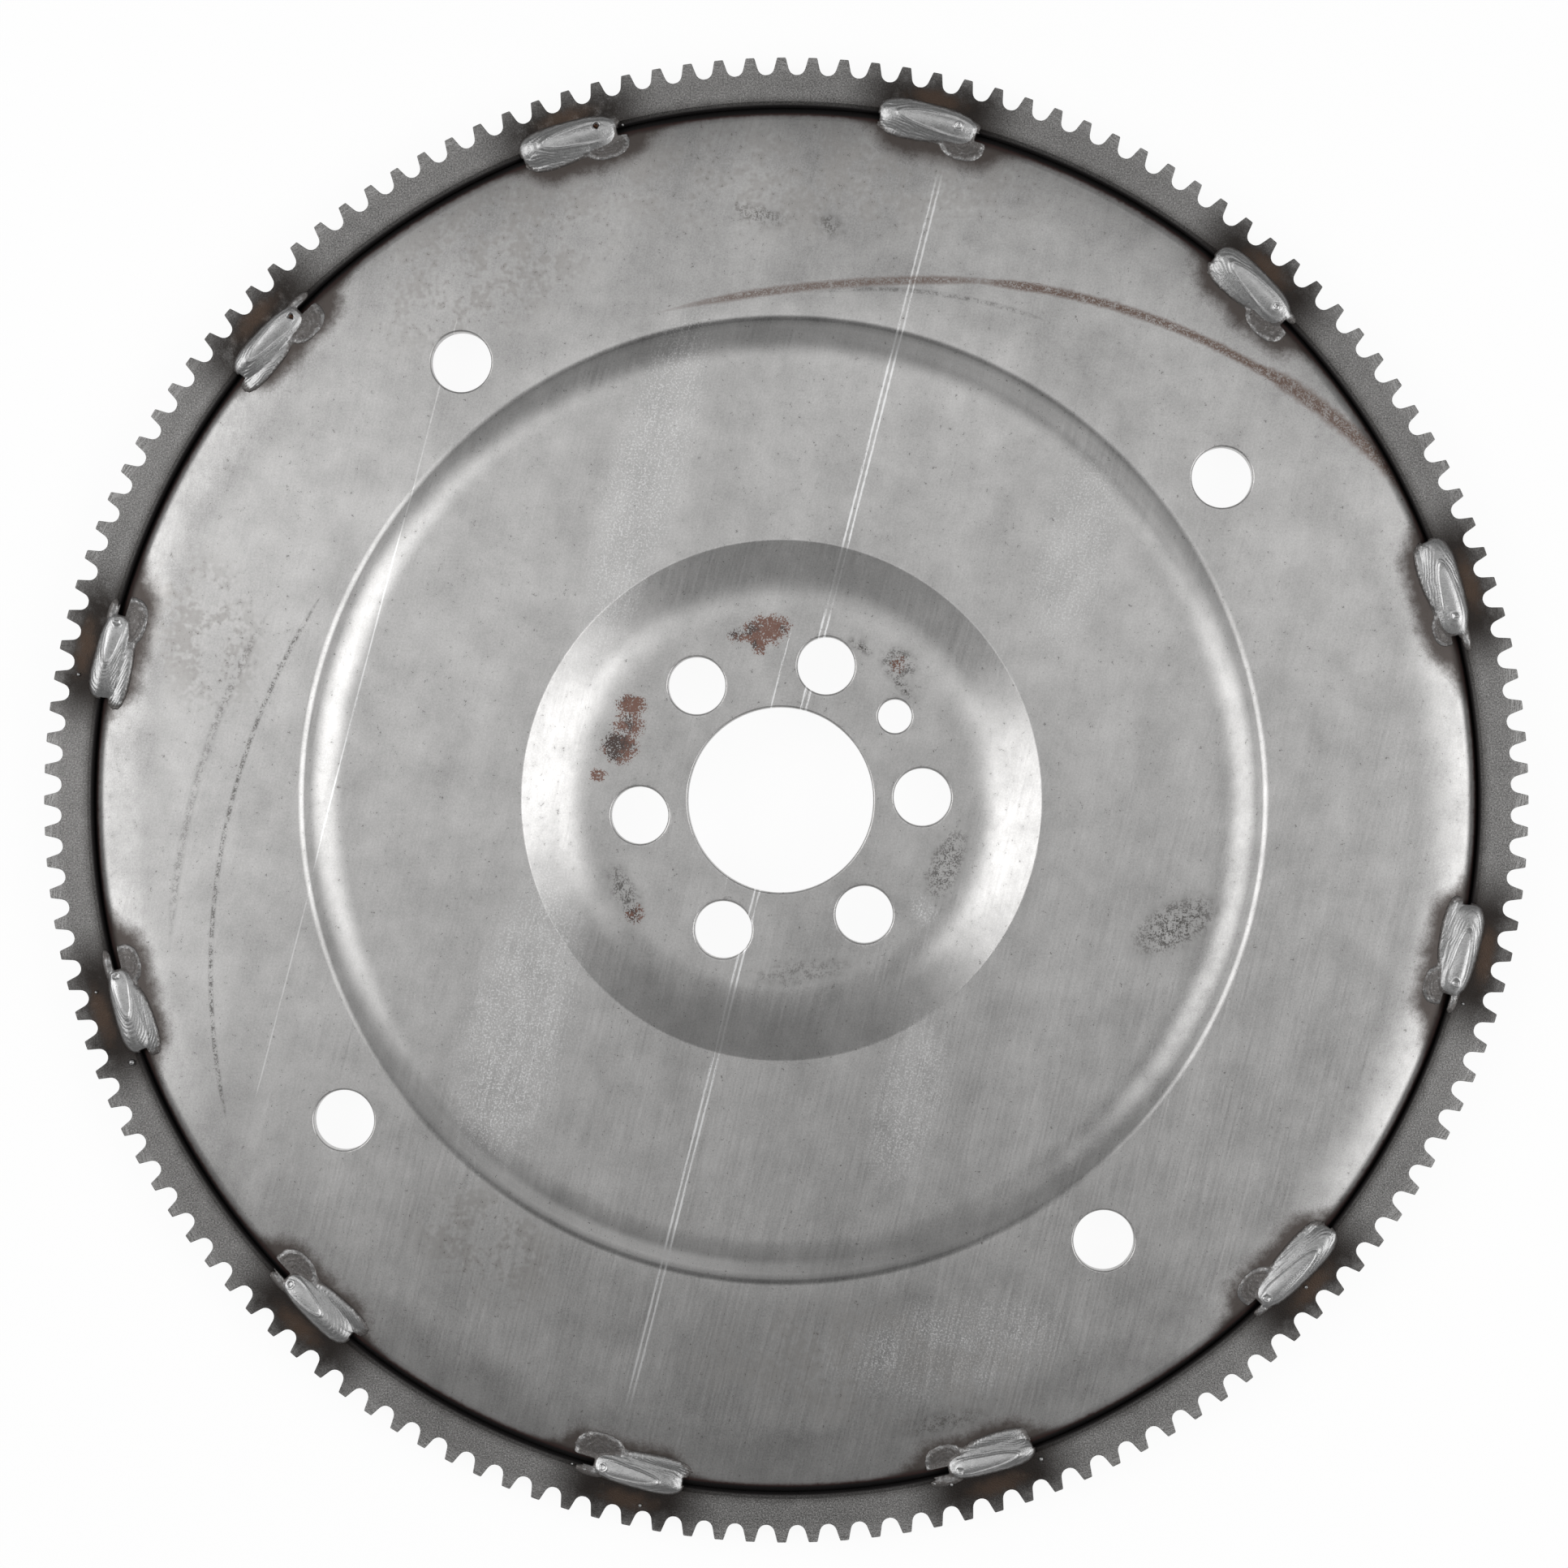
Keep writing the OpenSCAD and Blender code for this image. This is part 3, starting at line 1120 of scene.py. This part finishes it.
@dataclass
class StarterRing:
    """The toothed ring, made as one tooth gap that is repeated round the crank axis."""

    finish: RingSteel = field(default_factory=RingSteel)
    teeth: int = 148
    tooth_h: float = 3.75
    tip_w: float = 1.87
    root_r: float = 1.83
    tip_r: float = 158.75
    bore_r: float = 148.6
    turn: float = 0.3
    bore_chamfer: float = 0.8
    lead_chamfer: float = 1.0
    edge: float = 0.15
    edge_steps: int = 2
    tip_round: float = 0.22
    tip_steps: int = 4
    root_step: float = 18.0
    sharp: float = 35.0

    def __post_init__(self) -> None:
        """Works out the thickness and the tooth pitch."""
        self.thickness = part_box("ring_gear")[1].z / MM
        self.pitch = math.tau / self.teeth
        self.lead_r = self.tip_r - self.lead_chamfer

    def gap(self) -> list[Place]:
        """Draws one tooth gap.

        Returns:
            The outline from the middle of one tooth tip to the next.
        """
        half = self.pitch / 2
        centre = self.tip_r - self.tooth_h + self.root_r
        mouth = self.tip_r * math.sin(half) - self.tip_w / 2
        corner = (math.sqrt(self.tip_r**2 - mouth**2), mouth)
        away = (corner[0] - centre, corner[1])
        flank = math.degrees(math.atan2(away[1], away[0]) + math.acos(self.root_r / math.hypot(*away)))
        root = arc_points((centre, 0.0), self.root_r, flank, 360 - flank, self.root_step)
        middle = len(root) // 2
        tip = polar(self.tip_r, half)
        upper = [tip, *self.rounded(tip, corner, root[0]), *root[:middle]]
        return [*upper, root[middle], *((x, -y) for x, y in reversed(upper))]

    def rounded(self, before: Place, corner: Place, after: Place) -> list[Place]:
        """Rounds the corner between two straight stretches.

        Args:
            before: Where the first stretch starts.
            corner: Where they meet.
            after: Where the second one ends.

        Returns:
            The points that take the corner's place.
        """
        middle = Vector(corner)
        first, last = (
            middle + (Vector(end) - middle).normalized() * self.tip_round for end in (before, after)
        )
        shares = (i / self.tip_steps for i in range(self.tip_steps + 1))
        return [tuple(first * (1 - t) ** 2 + middle * 2 * t * (1 - t) + last * t**2) for t in shares]

    def cut_gap(self) -> bmesh.types.BMesh:
        """Extrudes one gap, with the lead chamfer below, and opens it where the next one joins.

        Returns:
            The mesh in millimetres.
        """
        half = self.pitch / 2
        outline = self.gap() + [polar(self.bore_r, angle) for angle in (-half, 0.0, half)]
        bm = bmesh.new()
        level = bm.faces.new([bm.verts.new((x, y, self.thickness)) for x, y in outline])
        straight = self.thickness - self.lead_chamfer
        for drop, radius, keep in ((straight, self.tip_r, True), (self.lead_chamfer, self.lead_r, False)):
            lower = bmesh.ops.extrude_face_region(bm, geom=[level], use_keep_orig=keep)["geom"]
            level = next(part for part in lower if isinstance(part, bmesh.types.BMFace))
            for vert in level.verts:
                vert.co.xy *= min(1.0, radius / vert.co.xy.length)
                vert.co.z -= drop

        def at_end(face: bmesh.types.BMFace) -> bool:
            """Tells whether a face lies where the next gap joins."""
            return all(abs(abs(math.atan2(v.co.y, v.co.x)) - half) < TOUCH for v in face.verts)

        bmesh.ops.delete(bm, geom=[face for face in bm.faces if at_end(face)], context="FACES_ONLY")
        return bm

    def soften(self, bm: bmesh.types.BMesh) -> None:
        """Bevels the bore and the upper outline of the teeth.

        Args:
            bm: The mesh of one gap.
        """
        limit = self.bore_r + 2 * self.bore_chamfer

        def bevel(inside: bool, width: float, segments: int) -> None:
            """Bevels upper edges.

            Args:
                inside: Whether these are the edges along the bore, and not those along the teeth.
                width: The bevel's width.
                segments: The number of its steps.
            """
            edges = []
            for edge in bm.edges:
                radii = [math.hypot(v.co.x, v.co.y) for v in edge.verts]
                level = all(abs(v.co.z - self.thickness) < TOUCH for v in edge.verts)
                if level and (max(radii) < limit if inside else min(radii) > limit):
                    edges.append(edge)
            bmesh.ops.bevel(
                bm, geom=edges, offset=width, affect="EDGES", segments=segments, profile=0.5, material=-1
            )

        bevel(True, self.bore_chamfer, 1)
        bevel(False, self.edge, self.edge_steps)

    def build(self) -> bpy.types.Object:
        """Makes one gap, softens its edges, repeats it and dresses the ring.

        Returns:
            The finished ring.
        """
        bm = self.cut_gap()
        self.soften(bm)
        turn = Matrix.Rotation(self.pitch / 2 + math.radians(self.turn), 3, "Z")
        bmesh.ops.rotate(bm, matrix=turn, verts=bm.verts[:])
        bmesh.ops.spin(
            bm,
            geom=bm.verts[:] + bm.edges[:] + bm.faces[:],
            axis=(0.0, 0.0, 1.0),
            angle=math.tau - self.pitch,
            steps=self.teeth - 1,
            use_duplicate=True,
        )
        piece = finished(bm, "starter_ring", self.sharp)
        piece.modifiers.new("even_shading", "WEIGHTED_NORMAL").keep_sharp = True
        settle(piece, self.finish.build(), "ring_gear")
        return piece


@dataclass(frozen=True)
class BeadPlan:
    """How one bead lies: x runs clockwise along the joint and y outwards, from its own middle.

    The lobe is the low pool that ran over the sheet at the bead's end: its place and half its size. The foot
    is how far the crescent at the start reaches, and the tail is where the flake over the ring ends. The
    spatter is drops beside the bead, with their places and radii.
    """

    drift: float
    left: float
    right: float
    inner: float
    outer: float
    crater: Place
    lobe: tuple[float, float, float, float]
    foot: float
    tail: Place
    pool_start: float = -6.0
    pit: float = 0.2
    spatter: tuple[tuple[float, float, float], ...] = ()


BEADS = (
    BeadPlan(0.2, -9.9, 10.9, -4.2, 4.5, (7.4, 0.6), (8.9, -3.7, 4.0, 2.4), -9.6, (12.4, 1.4)),
    BeadPlan(0.5, -10.2, 11.4, -4.0, 4.3, (7.0, 0.7), (9.8, -3.7, 3.9, 2.4), -9.8, (11.6, 1.6)),
    BeadPlan(
        0.4, -10.8, 10.8, -4.2, 4.6, (6.4, 1.7), (8.7, -3.6, 3.9, 2.1), -10.0, (11.4, 1.8), pit=0.7,
        spatter=((12.0, 0.6, 0.3),),
    ),
    BeadPlan(0.8, -9.5, 9.8, -5.1, 3.2, (7.4, 0.0), (9.4, -3.8, 4.0, 2.6), -11.4, (13.4, 1.3), pit=0.6),
    BeadPlan(
        -0.2, -11.0, 7.8, -5.3, 3.2, (5.7, 0.0), (7.6, -3.6, 4.4, 2.6), -12.9, (10.6, 1.7), -3.5,
        spatter=((-6.7, 5.8, 0.4),),
    ),
    BeadPlan(
        0.0, -10.2, 8.5, -5.0, 2.9, (6.8, 0.2), (9.8, -3.4, 3.4, 2.2), -12.0, (12.8, 1.4), -2.5,
        spatter=((4.7, 5.3, 0.35), (-11.6, 2.8, 0.7)),
    ),
    BeadPlan(-0.7, -11.6, 7.6, -5.2, 3.0, (5.7, 0.1), (8.0, -3.6, 4.0, 2.8), -13.8, (10.4, 1.6), -3.6),
    BeadPlan(
        -0.4, -12.3, 7.8, -5.1, 2.7, (5.4, 0.0), (7.9, -4.1, 4.6, 3.0), -13.5, (11.0, 1.6), -7.0,
        spatter=((-4.0, 6.1, 0.4), (11.9, 1.2, 0.3), (9.0, 1.5, 0.4)),
    ),
    BeadPlan(
        -0.4, -11.0, 8.3, -5.4, 2.7, (5.5, 0.2), (9.2, -3.2, 3.4, 2.7), -10.8, (12.2, 1.8), -7.5,
        spatter=((8.1, 2.7, 0.4), (11.5, 1.7, 0.35), (-11.4, 3.2, 0.5)),
    ),
    BeadPlan(
        -0.4, -13.0, 9.4, -4.4, 3.6, (7.2, 0.1), (8.1, -4.0, 3.7, 2.3), -12.6, (11.6, 1.2), -7.4,
        spatter=((-0.1, 4.5, 0.45),),
    ),
    BeadPlan(
        -0.3, -11.0, 9.2, -4.8, 3.8, (6.1, 0.6), (8.5, -3.8, 3.2, 2.1), -12.2, (12.6, 1.2),
        spatter=((9.9, 3.4, 0.35),),
    ),
    BeadPlan(0.1, -11.2, 10.4, -4.3, 4.1, (6.0, 0.5), (9.3, -3.2, 2.6, 1.6), -10.8, (13.8, 1.8)),
)


def union(first: float, second: float, round_off: float) -> float:
    """Joins two heights with a rounded valley between them."""
    near = max(round_off - abs(first - second), 0.0) / round_off
    return max(first, second) + near * near * round_off / 4


def mound(along: float, across: float, top: float, square: float = 2.4) -> float:
    """Raises a rounded mound.

    Args:
        along: The place as a share of the mound's half length.
        across: The place as a share of its half width.
        top: Its height.
        square: How square its ends are.

    Returns:
        The height, which is below 0 outside the mound.
    """
    spread = abs(along) ** square + abs(across) ** 2.3
    return top * (1 - spread) ** 0.6 if spread < 1 else top * (1 - spread)


@dataclass
class WeldBead:
    """One bead: a rippled body with its last pool and crater, and the toes that ran over the sheet and ring.

    The tops are heights above the metal, and the ripples are as far apart as the ripple says.
    """

    number: int
    plan: BeadPlan
    plate: PressedPlate
    ring_top: float
    cell: float = 0.13
    margin: float = 1.0
    crown: float = 1.6
    body_square: float = 4.0
    foot_top: float = 0.95
    foot_end: float = 4.0
    foot_y: float = 2.4
    foot_half: float = 2.5
    lobe_top: float = 0.5
    lobe_under: float = 1.0
    tail_top: float = 0.5
    tail_under: float = 3.0
    sink: float = 0.3
    waist: float = -3.2
    slant: float = 0.05
    groove_y: float = -0.4
    groove_half: float = 0.9
    groove_depth: float = 2.2
    ripple: float = 0.62
    ripple_top: float = 0.036
    lobe_ripple_top: float = 0.022
    pool_rim: float = 0.12
    pool_dish: float = 0.14
    grain: float = 0.012
    crater_rim: float = 0.07
    sharp: float = 80.0

    def wander(self, x: float, y: float, scale: float) -> float:
        """Gives noise between about -1 and 1 that differs from bead to bead."""
        return noise.noise(Vector((x * scale, y * scale, self.number * 7.3)))

    def pool_spread(self, x: float, y: float) -> float:
        """Measures from the middle of the last pool.

        Args:
            x: The place along the bead.
            y: The place across it.

        Returns:
            The distance, which is 1 at the pool's edge.
        """
        start, end = self.plan.pool_start, self.plan.right - 0.5
        t = (x - (start + end) / 2) / ((end - start) / 2)
        half = (self.plan.outer - self.waist) * (0.27 + 0.08 * max(-1.0, min(1.0, t)))
        middle = (self.plan.outer + self.waist) / 2 + 0.15 - self.slant * x
        return (abs(t) ** 3.2 + abs((y - middle) / half) ** 2.2) ** 0.4

    def on_lobe(self, x: float, y: float) -> Place:
        """Measures from the lobe's middle, with the part of the lobe that lies under the bead's end.

        Args:
            x: The place along the bead.
            y: The place across it.

        Returns:
            The place as shares of half the lobe's size.
        """
        lobe_x, lobe_y, lobe_w, lobe_h = self.plan.lobe
        under = self.lobe_under
        return (x - lobe_x + under) / (lobe_w + under), (y - lobe_y - under) / (lobe_h + under)

    def mounds(self, x: float, y: float) -> tuple[float, float, float, float]:
        """Raises the smooth shapes that make up the bead.

        Args:
            x: The place along the bead.
            y: The place across it.

        Returns:
            The heights of the body, the foot, the lobe and the tail, each below 0 outside.
        """
        plan = self.plan
        along = (x - (plan.left + plan.right) / 2) / ((plan.right - plan.left) / 2)
        across = (y + self.slant * x - (plan.outer + self.waist) / 2) / ((plan.outer - self.waist) / 2)
        body = mound(along, across, self.crown, self.body_square)
        reach = (self.foot_end - plan.foot) / 2
        foot_at = (x - self.foot_end + reach) / reach, (y - plan.inner - self.foot_y) / self.foot_half
        foot = mound(*foot_at, self.foot_top)
        lobe = mound(*self.on_lobe(x, y), self.lobe_top)
        reach = (plan.tail[0] - plan.right + self.tail_under) / 2
        tail = mound((x - plan.tail[0] + reach) / reach, y - plan.tail[1], self.tail_top)
        return body, foot, lobe, tail

    def height(self, x: float, y: float) -> float:
        """Works out the bead's height above the sheet and ring.

        Args:
            x: The place along the bead.
            y: The place across it.

        Returns:
            The height, which is below 0 outside the bead.
        """
        plan = self.plan
        body, foot, lobe, tail = self.mounds(x, y)
        height = union(union(body, foot, 1.4), union(lobe, tail, 0.2), 0.6)
        ragged = 0.6 * self.wander(x, y, 1.3) + 0.5 * self.wander(x, y, 3.1)
        height += (0.08 if lobe > body else 0.2) * ragged * smooth_step(height, 0.9, 0.1)

        pool = self.pool_spread(x, y)
        if lobe > body:
            edge = math.hypot(*self.on_lobe(x, y)) + 0.14 * self.wander(x, y, 0.8)
            rings, strength = 2.6 * edge, self.lobe_ripple_top
            height += (0.07 + 0.14 * self.wander(x, y, 1.8)) * ridge(edge, 0.86, 0.09)
        else:
            rings = 2.3 * (pool - 1) + 0.5 * self.wander(x, y, 0.35)
            start = 0.4 + 0.6 * smooth_step(x, 4.0, -4.0)
            strength = self.ripple_top * start * max(0.0, 0.6 + 0.9 * self.wander(x, y, 0.5))
        height += strength * math.sin(math.tau * rings / self.ripple) * smooth_step(pool, 1.0, 1.12)
        height += self.pool_rim * ridge(pool, 1.0, 0.07) * smooth_step(x, 8.0, 0.0)
        height -= self.pool_dish * smooth_step(pool, 1.0, 0.75)
        height += self.grain * self.wander(x, y, 4.0)
        pit = math.dist((x, y), plan.crater) + 0.3 * self.wander(x, y, 1.6)
        height += self.crater_rim * ridge(pit, 0.8, 0.2) - plan.pit * math.exp(-((pit / 0.6) ** 4))

        past = smooth_step(x, plan.right - 0.4, plan.right) + smooth_step(x, plan.left + 0.4, plan.left)
        in_groove = smooth_step(abs(y - self.groove_y), self.groove_half, self.groove_half * 0.6)
        return height - self.groove_depth * past * in_groove

    def toe(self, place: Vector) -> float:
        """Tells how dark the crust is: on the lobe inside its rim, and along the low edges, most at the ring.

        Args:
            place: A place on the straight bead.

        Returns:
            A share between 0 and 1.
        """
        spread = math.hypot(*self.on_lobe(place.x, place.y))
        if spread < 1.15 and place.z < 0.75:
            return max(0.5 + 0.3 * smooth_step(spread, 0.9, 0.75), smooth_step(place.z, 0.2, 0.02))
        shelf = smooth_step(place.y, self.plan.outer - 2.0, self.plan.outer - 0.4)
        return smooth_step(place.z, 0.8 + 0.6 * shelf, 0.1)

    def seat(self, y: float) -> float:
        """Measures the sheet, the filled groove or the ring under the bead.

        Args:
            y: The place across the bead.

        Returns:
            The height above the plane that the part rests on.
        """
        plate = self.plate
        radius = JOINT_R + y
        edge = plate.bend_r + plate.rim_bend * math.sin(math.radians(plate.roll_slope))
        drop = max(0.0, min(radius, edge) - plate.roll_r)
        sheet = plate.outer_top - drop**2 / (2 * plate.roll_bend)
        return sheet + (self.ring_top - sheet) * smooth_step(radius, edge - 0.3, plate.rim_r + 0.6)

    def raised(self) -> bmesh.types.BMesh:
        """Raises the bead on a grid and trims it at its outline.

        Returns:
            The open mesh of its upper face, straight and in millimetres.
        """
        plan = self.plan
        left, right = min(plan.foot, plan.left), max(plan.tail[0], plan.lobe[0] + plan.lobe[2])
        low = Vector((left - self.margin, plan.lobe[1] - plan.lobe[3] - self.margin))
        high = Vector((right + self.margin, plan.outer + 1.5 * self.margin))
        size = high - low
        bm = bmesh.new()
        bmesh.ops.create_grid(
            bm, x_segments=round(size.x / self.cell), y_segments=round(size.y / self.cell), size=0.5
        )
        bmesh.ops.scale(bm, vec=(size.x, size.y, 1.0), verts=bm.verts[:])
        bmesh.ops.translate(bm, vec=((low + high) / 2).to_3d(), verts=bm.verts[:])
        for vert in bm.verts:
            vert.co.z = self.height(vert.co.x, vert.co.y)
        bmesh.ops.bisect_plane(
            bm,
            geom=bm.verts[:] + bm.edges[:] + bm.faces[:],
            plane_co=(0.0, 0.0, 0.0),
            plane_no=(0.0, 0.0, 1.0),
            clear_inner=True,
        )
        self.drop_crumbs(bm)
        return bm

    def drop_crumbs(self, bm: bmesh.types.BMesh) -> None:
        """Deletes the islands that the trimming left beside the bead.

        Args:
            bm: The trimmed mesh.
        """
        left = set(bm.faces)
        islands: list[list[bmesh.types.BMFace]] = []
        while left:
            island = [left.pop()]
            for face in island:
                near = {other for edge in face.edges for other in edge.link_faces} & left
                left -= near
                island.extend(near)
            islands.append(island)
        islands.sort(key=len)
        crumbs = [face for island in islands[:-1] for face in island]
        bmesh.ops.delete(bm, geom=crumbs, context="FACES")

    def paint(self, bm: bmesh.types.BMesh) -> None:
        """Writes the crust, the pool and the crater to the mesh, as one number for each vertex.

        Args:
            bm: The straight bead.
        """
        toe, pool, pit = [bm.verts.layers.float.new(key) for key in BEAD_KEYS]
        for vert in bm.verts:
            from_crater = math.dist(vert.co.xy, self.plan.crater)
            vert[toe] = self.toe(vert.co)
            vert[pool] = smooth_step(self.pool_spread(vert.co.x, vert.co.y), 1.05, 0.9)
            vert[pit] = self.plan.pit * smooth_step(from_crater, 0.75, 0.3)

    def close(self, bm: bmesh.types.BMesh) -> None:
        """Takes the outline down into the metal under the bead and closes it there.

        Args:
            bm: The open mesh.
        """
        rim = [edge for edge in bm.edges if edge.is_boundary]
        lower = bmesh.ops.extrude_edge_only(bm, edges=rim)["geom"]
        for vert in lower:
            if isinstance(vert, bmesh.types.BMVert):
                vert.co.z = -self.sink
        foot = [edge for edge in lower if isinstance(edge, bmesh.types.BMEdge)]
        bmesh.ops.triangle_fill(bm, edges=foot, use_beauty=True)

    def bend(self, bm: bmesh.types.BMesh) -> None:
        """Lays the straight bead along the round joint, on what it was welded to.

        Args:
            bm: The closed mesh.
        """
        start = FIRST_BEAD + (self.number - 1) * BEAD_PITCH + math.radians(self.plan.drift)
        for vert in bm.verts:
            x, y, z = vert.co
            vert.co = Vector((*polar(JOINT_R + y, start - x / JOINT_R), self.seat(y) + z))

    def build(self, material: bpy.types.Material) -> bpy.types.Object:
        """Makes the bead with its spatter, lays it on the joint and dresses it.

        Args:
            material: The finish that all beads share.

        Returns:
            The finished bead.
        """
        bm = self.raised()
        self.paint(bm)
        self.close(bm)
        for x, y, radius in self.plan.spatter:
            place = Matrix.Translation((x, y, radius / 2))
            bmesh.ops.create_icosphere(bm, subdivisions=2, radius=radius, matrix=place)
        self.bend(bm)
        piece = finished(bm, f"bead_{self.number:02d}", self.sharp)
        settle(piece, material, f"weld_{self.number:02d}")
        return piece


@dataclass(frozen=True)
class Lamp:
    """A soft rectangular lamp that faces the part, in metres.

    The side is its angle in the main view, in degrees like the angle from the zenith. Its depth runs away
    from the zenith.
    """

    name: str
    side: float
    from_zenith: float
    distance: float
    width: float
    depth: float
    radiance: float

    def build(self) -> None:
        """Hangs the lamp."""
        light = bpy.data.lights.new(self.name, "AREA")
        light.shape = "RECTANGLE"
        light.size = self.width
        light.size_y = self.depth
        light.energy = self.radiance * math.pi * self.width * self.depth
        lamp = bpy.data.objects.new(self.name, light)
        bpy.context.scene.collection.objects.link(lamp)
        turn = math.radians(self.side) - VIEW_TURN
        tilt = math.radians(self.from_zenith)
        lamp.location = Vector((*polar(math.sin(tilt), turn), math.cos(tilt))) * self.distance
        swing = Matrix.Rotation(turn + math.pi / 2, 3, "Z") @ Matrix.Rotation(tilt, 3, "X")
        lamp.rotation_euler = swing.to_euler()


@dataclass
class Studio:
    """The pale floor, the soft lamps and the camera that looks down on the part.

    The floor's radius is in metres. The eye and the aim are in millimetres.
    """

    floor_r: float = 6.0
    floor_drop: float = 0.05
    floor_steps: int = 96
    floor_paint: float = 0.85
    glow: float = 0.93
    eye: tuple[float, float, float] = (20.2, -11.5, 756.0)
    aim: tuple[float, float, float] = (2.43, 2.43, 10.0)
    lens: float = 80.17
    sensor: float = 36.0
    zenith: float = 0.30
    horizon: float = 0.75
    horizon_top: float = 0.35
    lamps: tuple[Lamp, ...] = (
        Lamp("left_softbox", 171, 44, 0.95, 0.70, 0.55, 2.6),
        Lamp("right_softbox", -9, 44, 0.95, 0.70, 0.55, 2.6),
        Lamp("overhead", 102, 13, 1.6, 1.7, 0.85, 0.74),
    )

    def build(self) -> None:
        """Sets up the stage."""
        self.build_floor()
        self.build_world()
        for lamp in self.lamps:
            lamp.build()
        self.build_camera()
        bpy.context.scene.view_settings.view_transform = "Standard"

    def build_floor(self) -> None:
        """Lays a white floor that glows to the camera and in reflections, and still takes the shadow."""
        bm = bmesh.new()
        bmesh.ops.create_circle(bm, cap_ends=True, segments=self.floor_steps, radius=self.floor_r / MM)
        bmesh.ops.translate(bm, vec=(0.0, 0.0, -self.floor_drop), verts=bm.verts[:])
        floor = finished(bm, "floor")
        material = bpy.data.materials.new("floor")
        g = Graph(material)
        seen = g.add("ShaderNodeLightPath", {}, output="Is Camera Ray")
        rays = seen.socket.node.outputs
        for name in ("Is Glossy Ray", "Is Transmission Ray"):
            seen = seen.most(Signal(g, rays[name]))
        paint = g.add("ShaderNodeBsdfDiffuse", {"Color": grey(self.floor_paint)})
        faint = g.add("ShaderNodeBsdfDiffuse", {"Color": grey(1 - self.glow)})
        glow = g.add("ShaderNodeEmission", {"Color": grey(1.0), "Strength": self.glow})
        lit = g.add("ShaderNodeAddShader", {0: faint, 1: glow})
        surface = g.add("ShaderNodeMixShader", {0: seen, 1: paint, 2: lit})
        g.add("ShaderNodeOutputMaterial", {"Surface": surface})
        floor.data.materials.append(material)

    def build_world(self) -> None:
        """Lights the part from all round, more from the horizon than from above."""
        world = bpy.data.worlds.new("studio")
        g = Graph(world)
        up = g.add("ShaderNodeTexCoord", {}, output="Generated").axis("Z")
        level = g.blend(up.smooth(0.0, self.horizon_top), self.horizon, self.zenith)
        back = g.add("ShaderNodeBackground", {"Color": grey(1.0), "Strength": level})
        g.add("ShaderNodeOutputWorld", {"Surface": back})
        bpy.context.scene.world = world

    def build_camera(self) -> None:
        """Hangs the camera over the part, turned so that the dowel hole lies where the main view has it."""
        data = bpy.data.cameras.new("camera")
        data.lens = self.lens
        data.sensor_width = self.sensor
        camera = bpy.data.objects.new("camera", data)
        bpy.context.scene.collection.objects.link(camera)
        eye = Vector(self.eye) * MM
        back = (eye - Vector(self.aim) * MM).normalized()
        right = Vector((*polar(1.0, -VIEW_TURN), 0.0))
        right = (right - back * right.dot(back)).normalized()
        up = back.cross(right)
        camera.matrix_world = Matrix.Translation(eye) @ Matrix((right, up, back)).transposed().to_4x4()
        bpy.context.scene.camera = camera


def main() -> None:
    """Builds the plate, the ring, the beads and the stage in order."""
    logging.basicConfig(level=logging.INFO, format="%(name)s: %(message)s")
    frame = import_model()
    plate = PressedPlate(frame["record"]["mounts"])
    plate.build()
    ring = StarterRing()
    ring.build()
    weld_metal = WeldMetal().build()
    for number, plan in enumerate(BEADS, 1):
        WeldBead(number, plan, plate, ring.thickness).build(weld_metal)
    Studio().build()


if __name__ == "__main__":
    main()
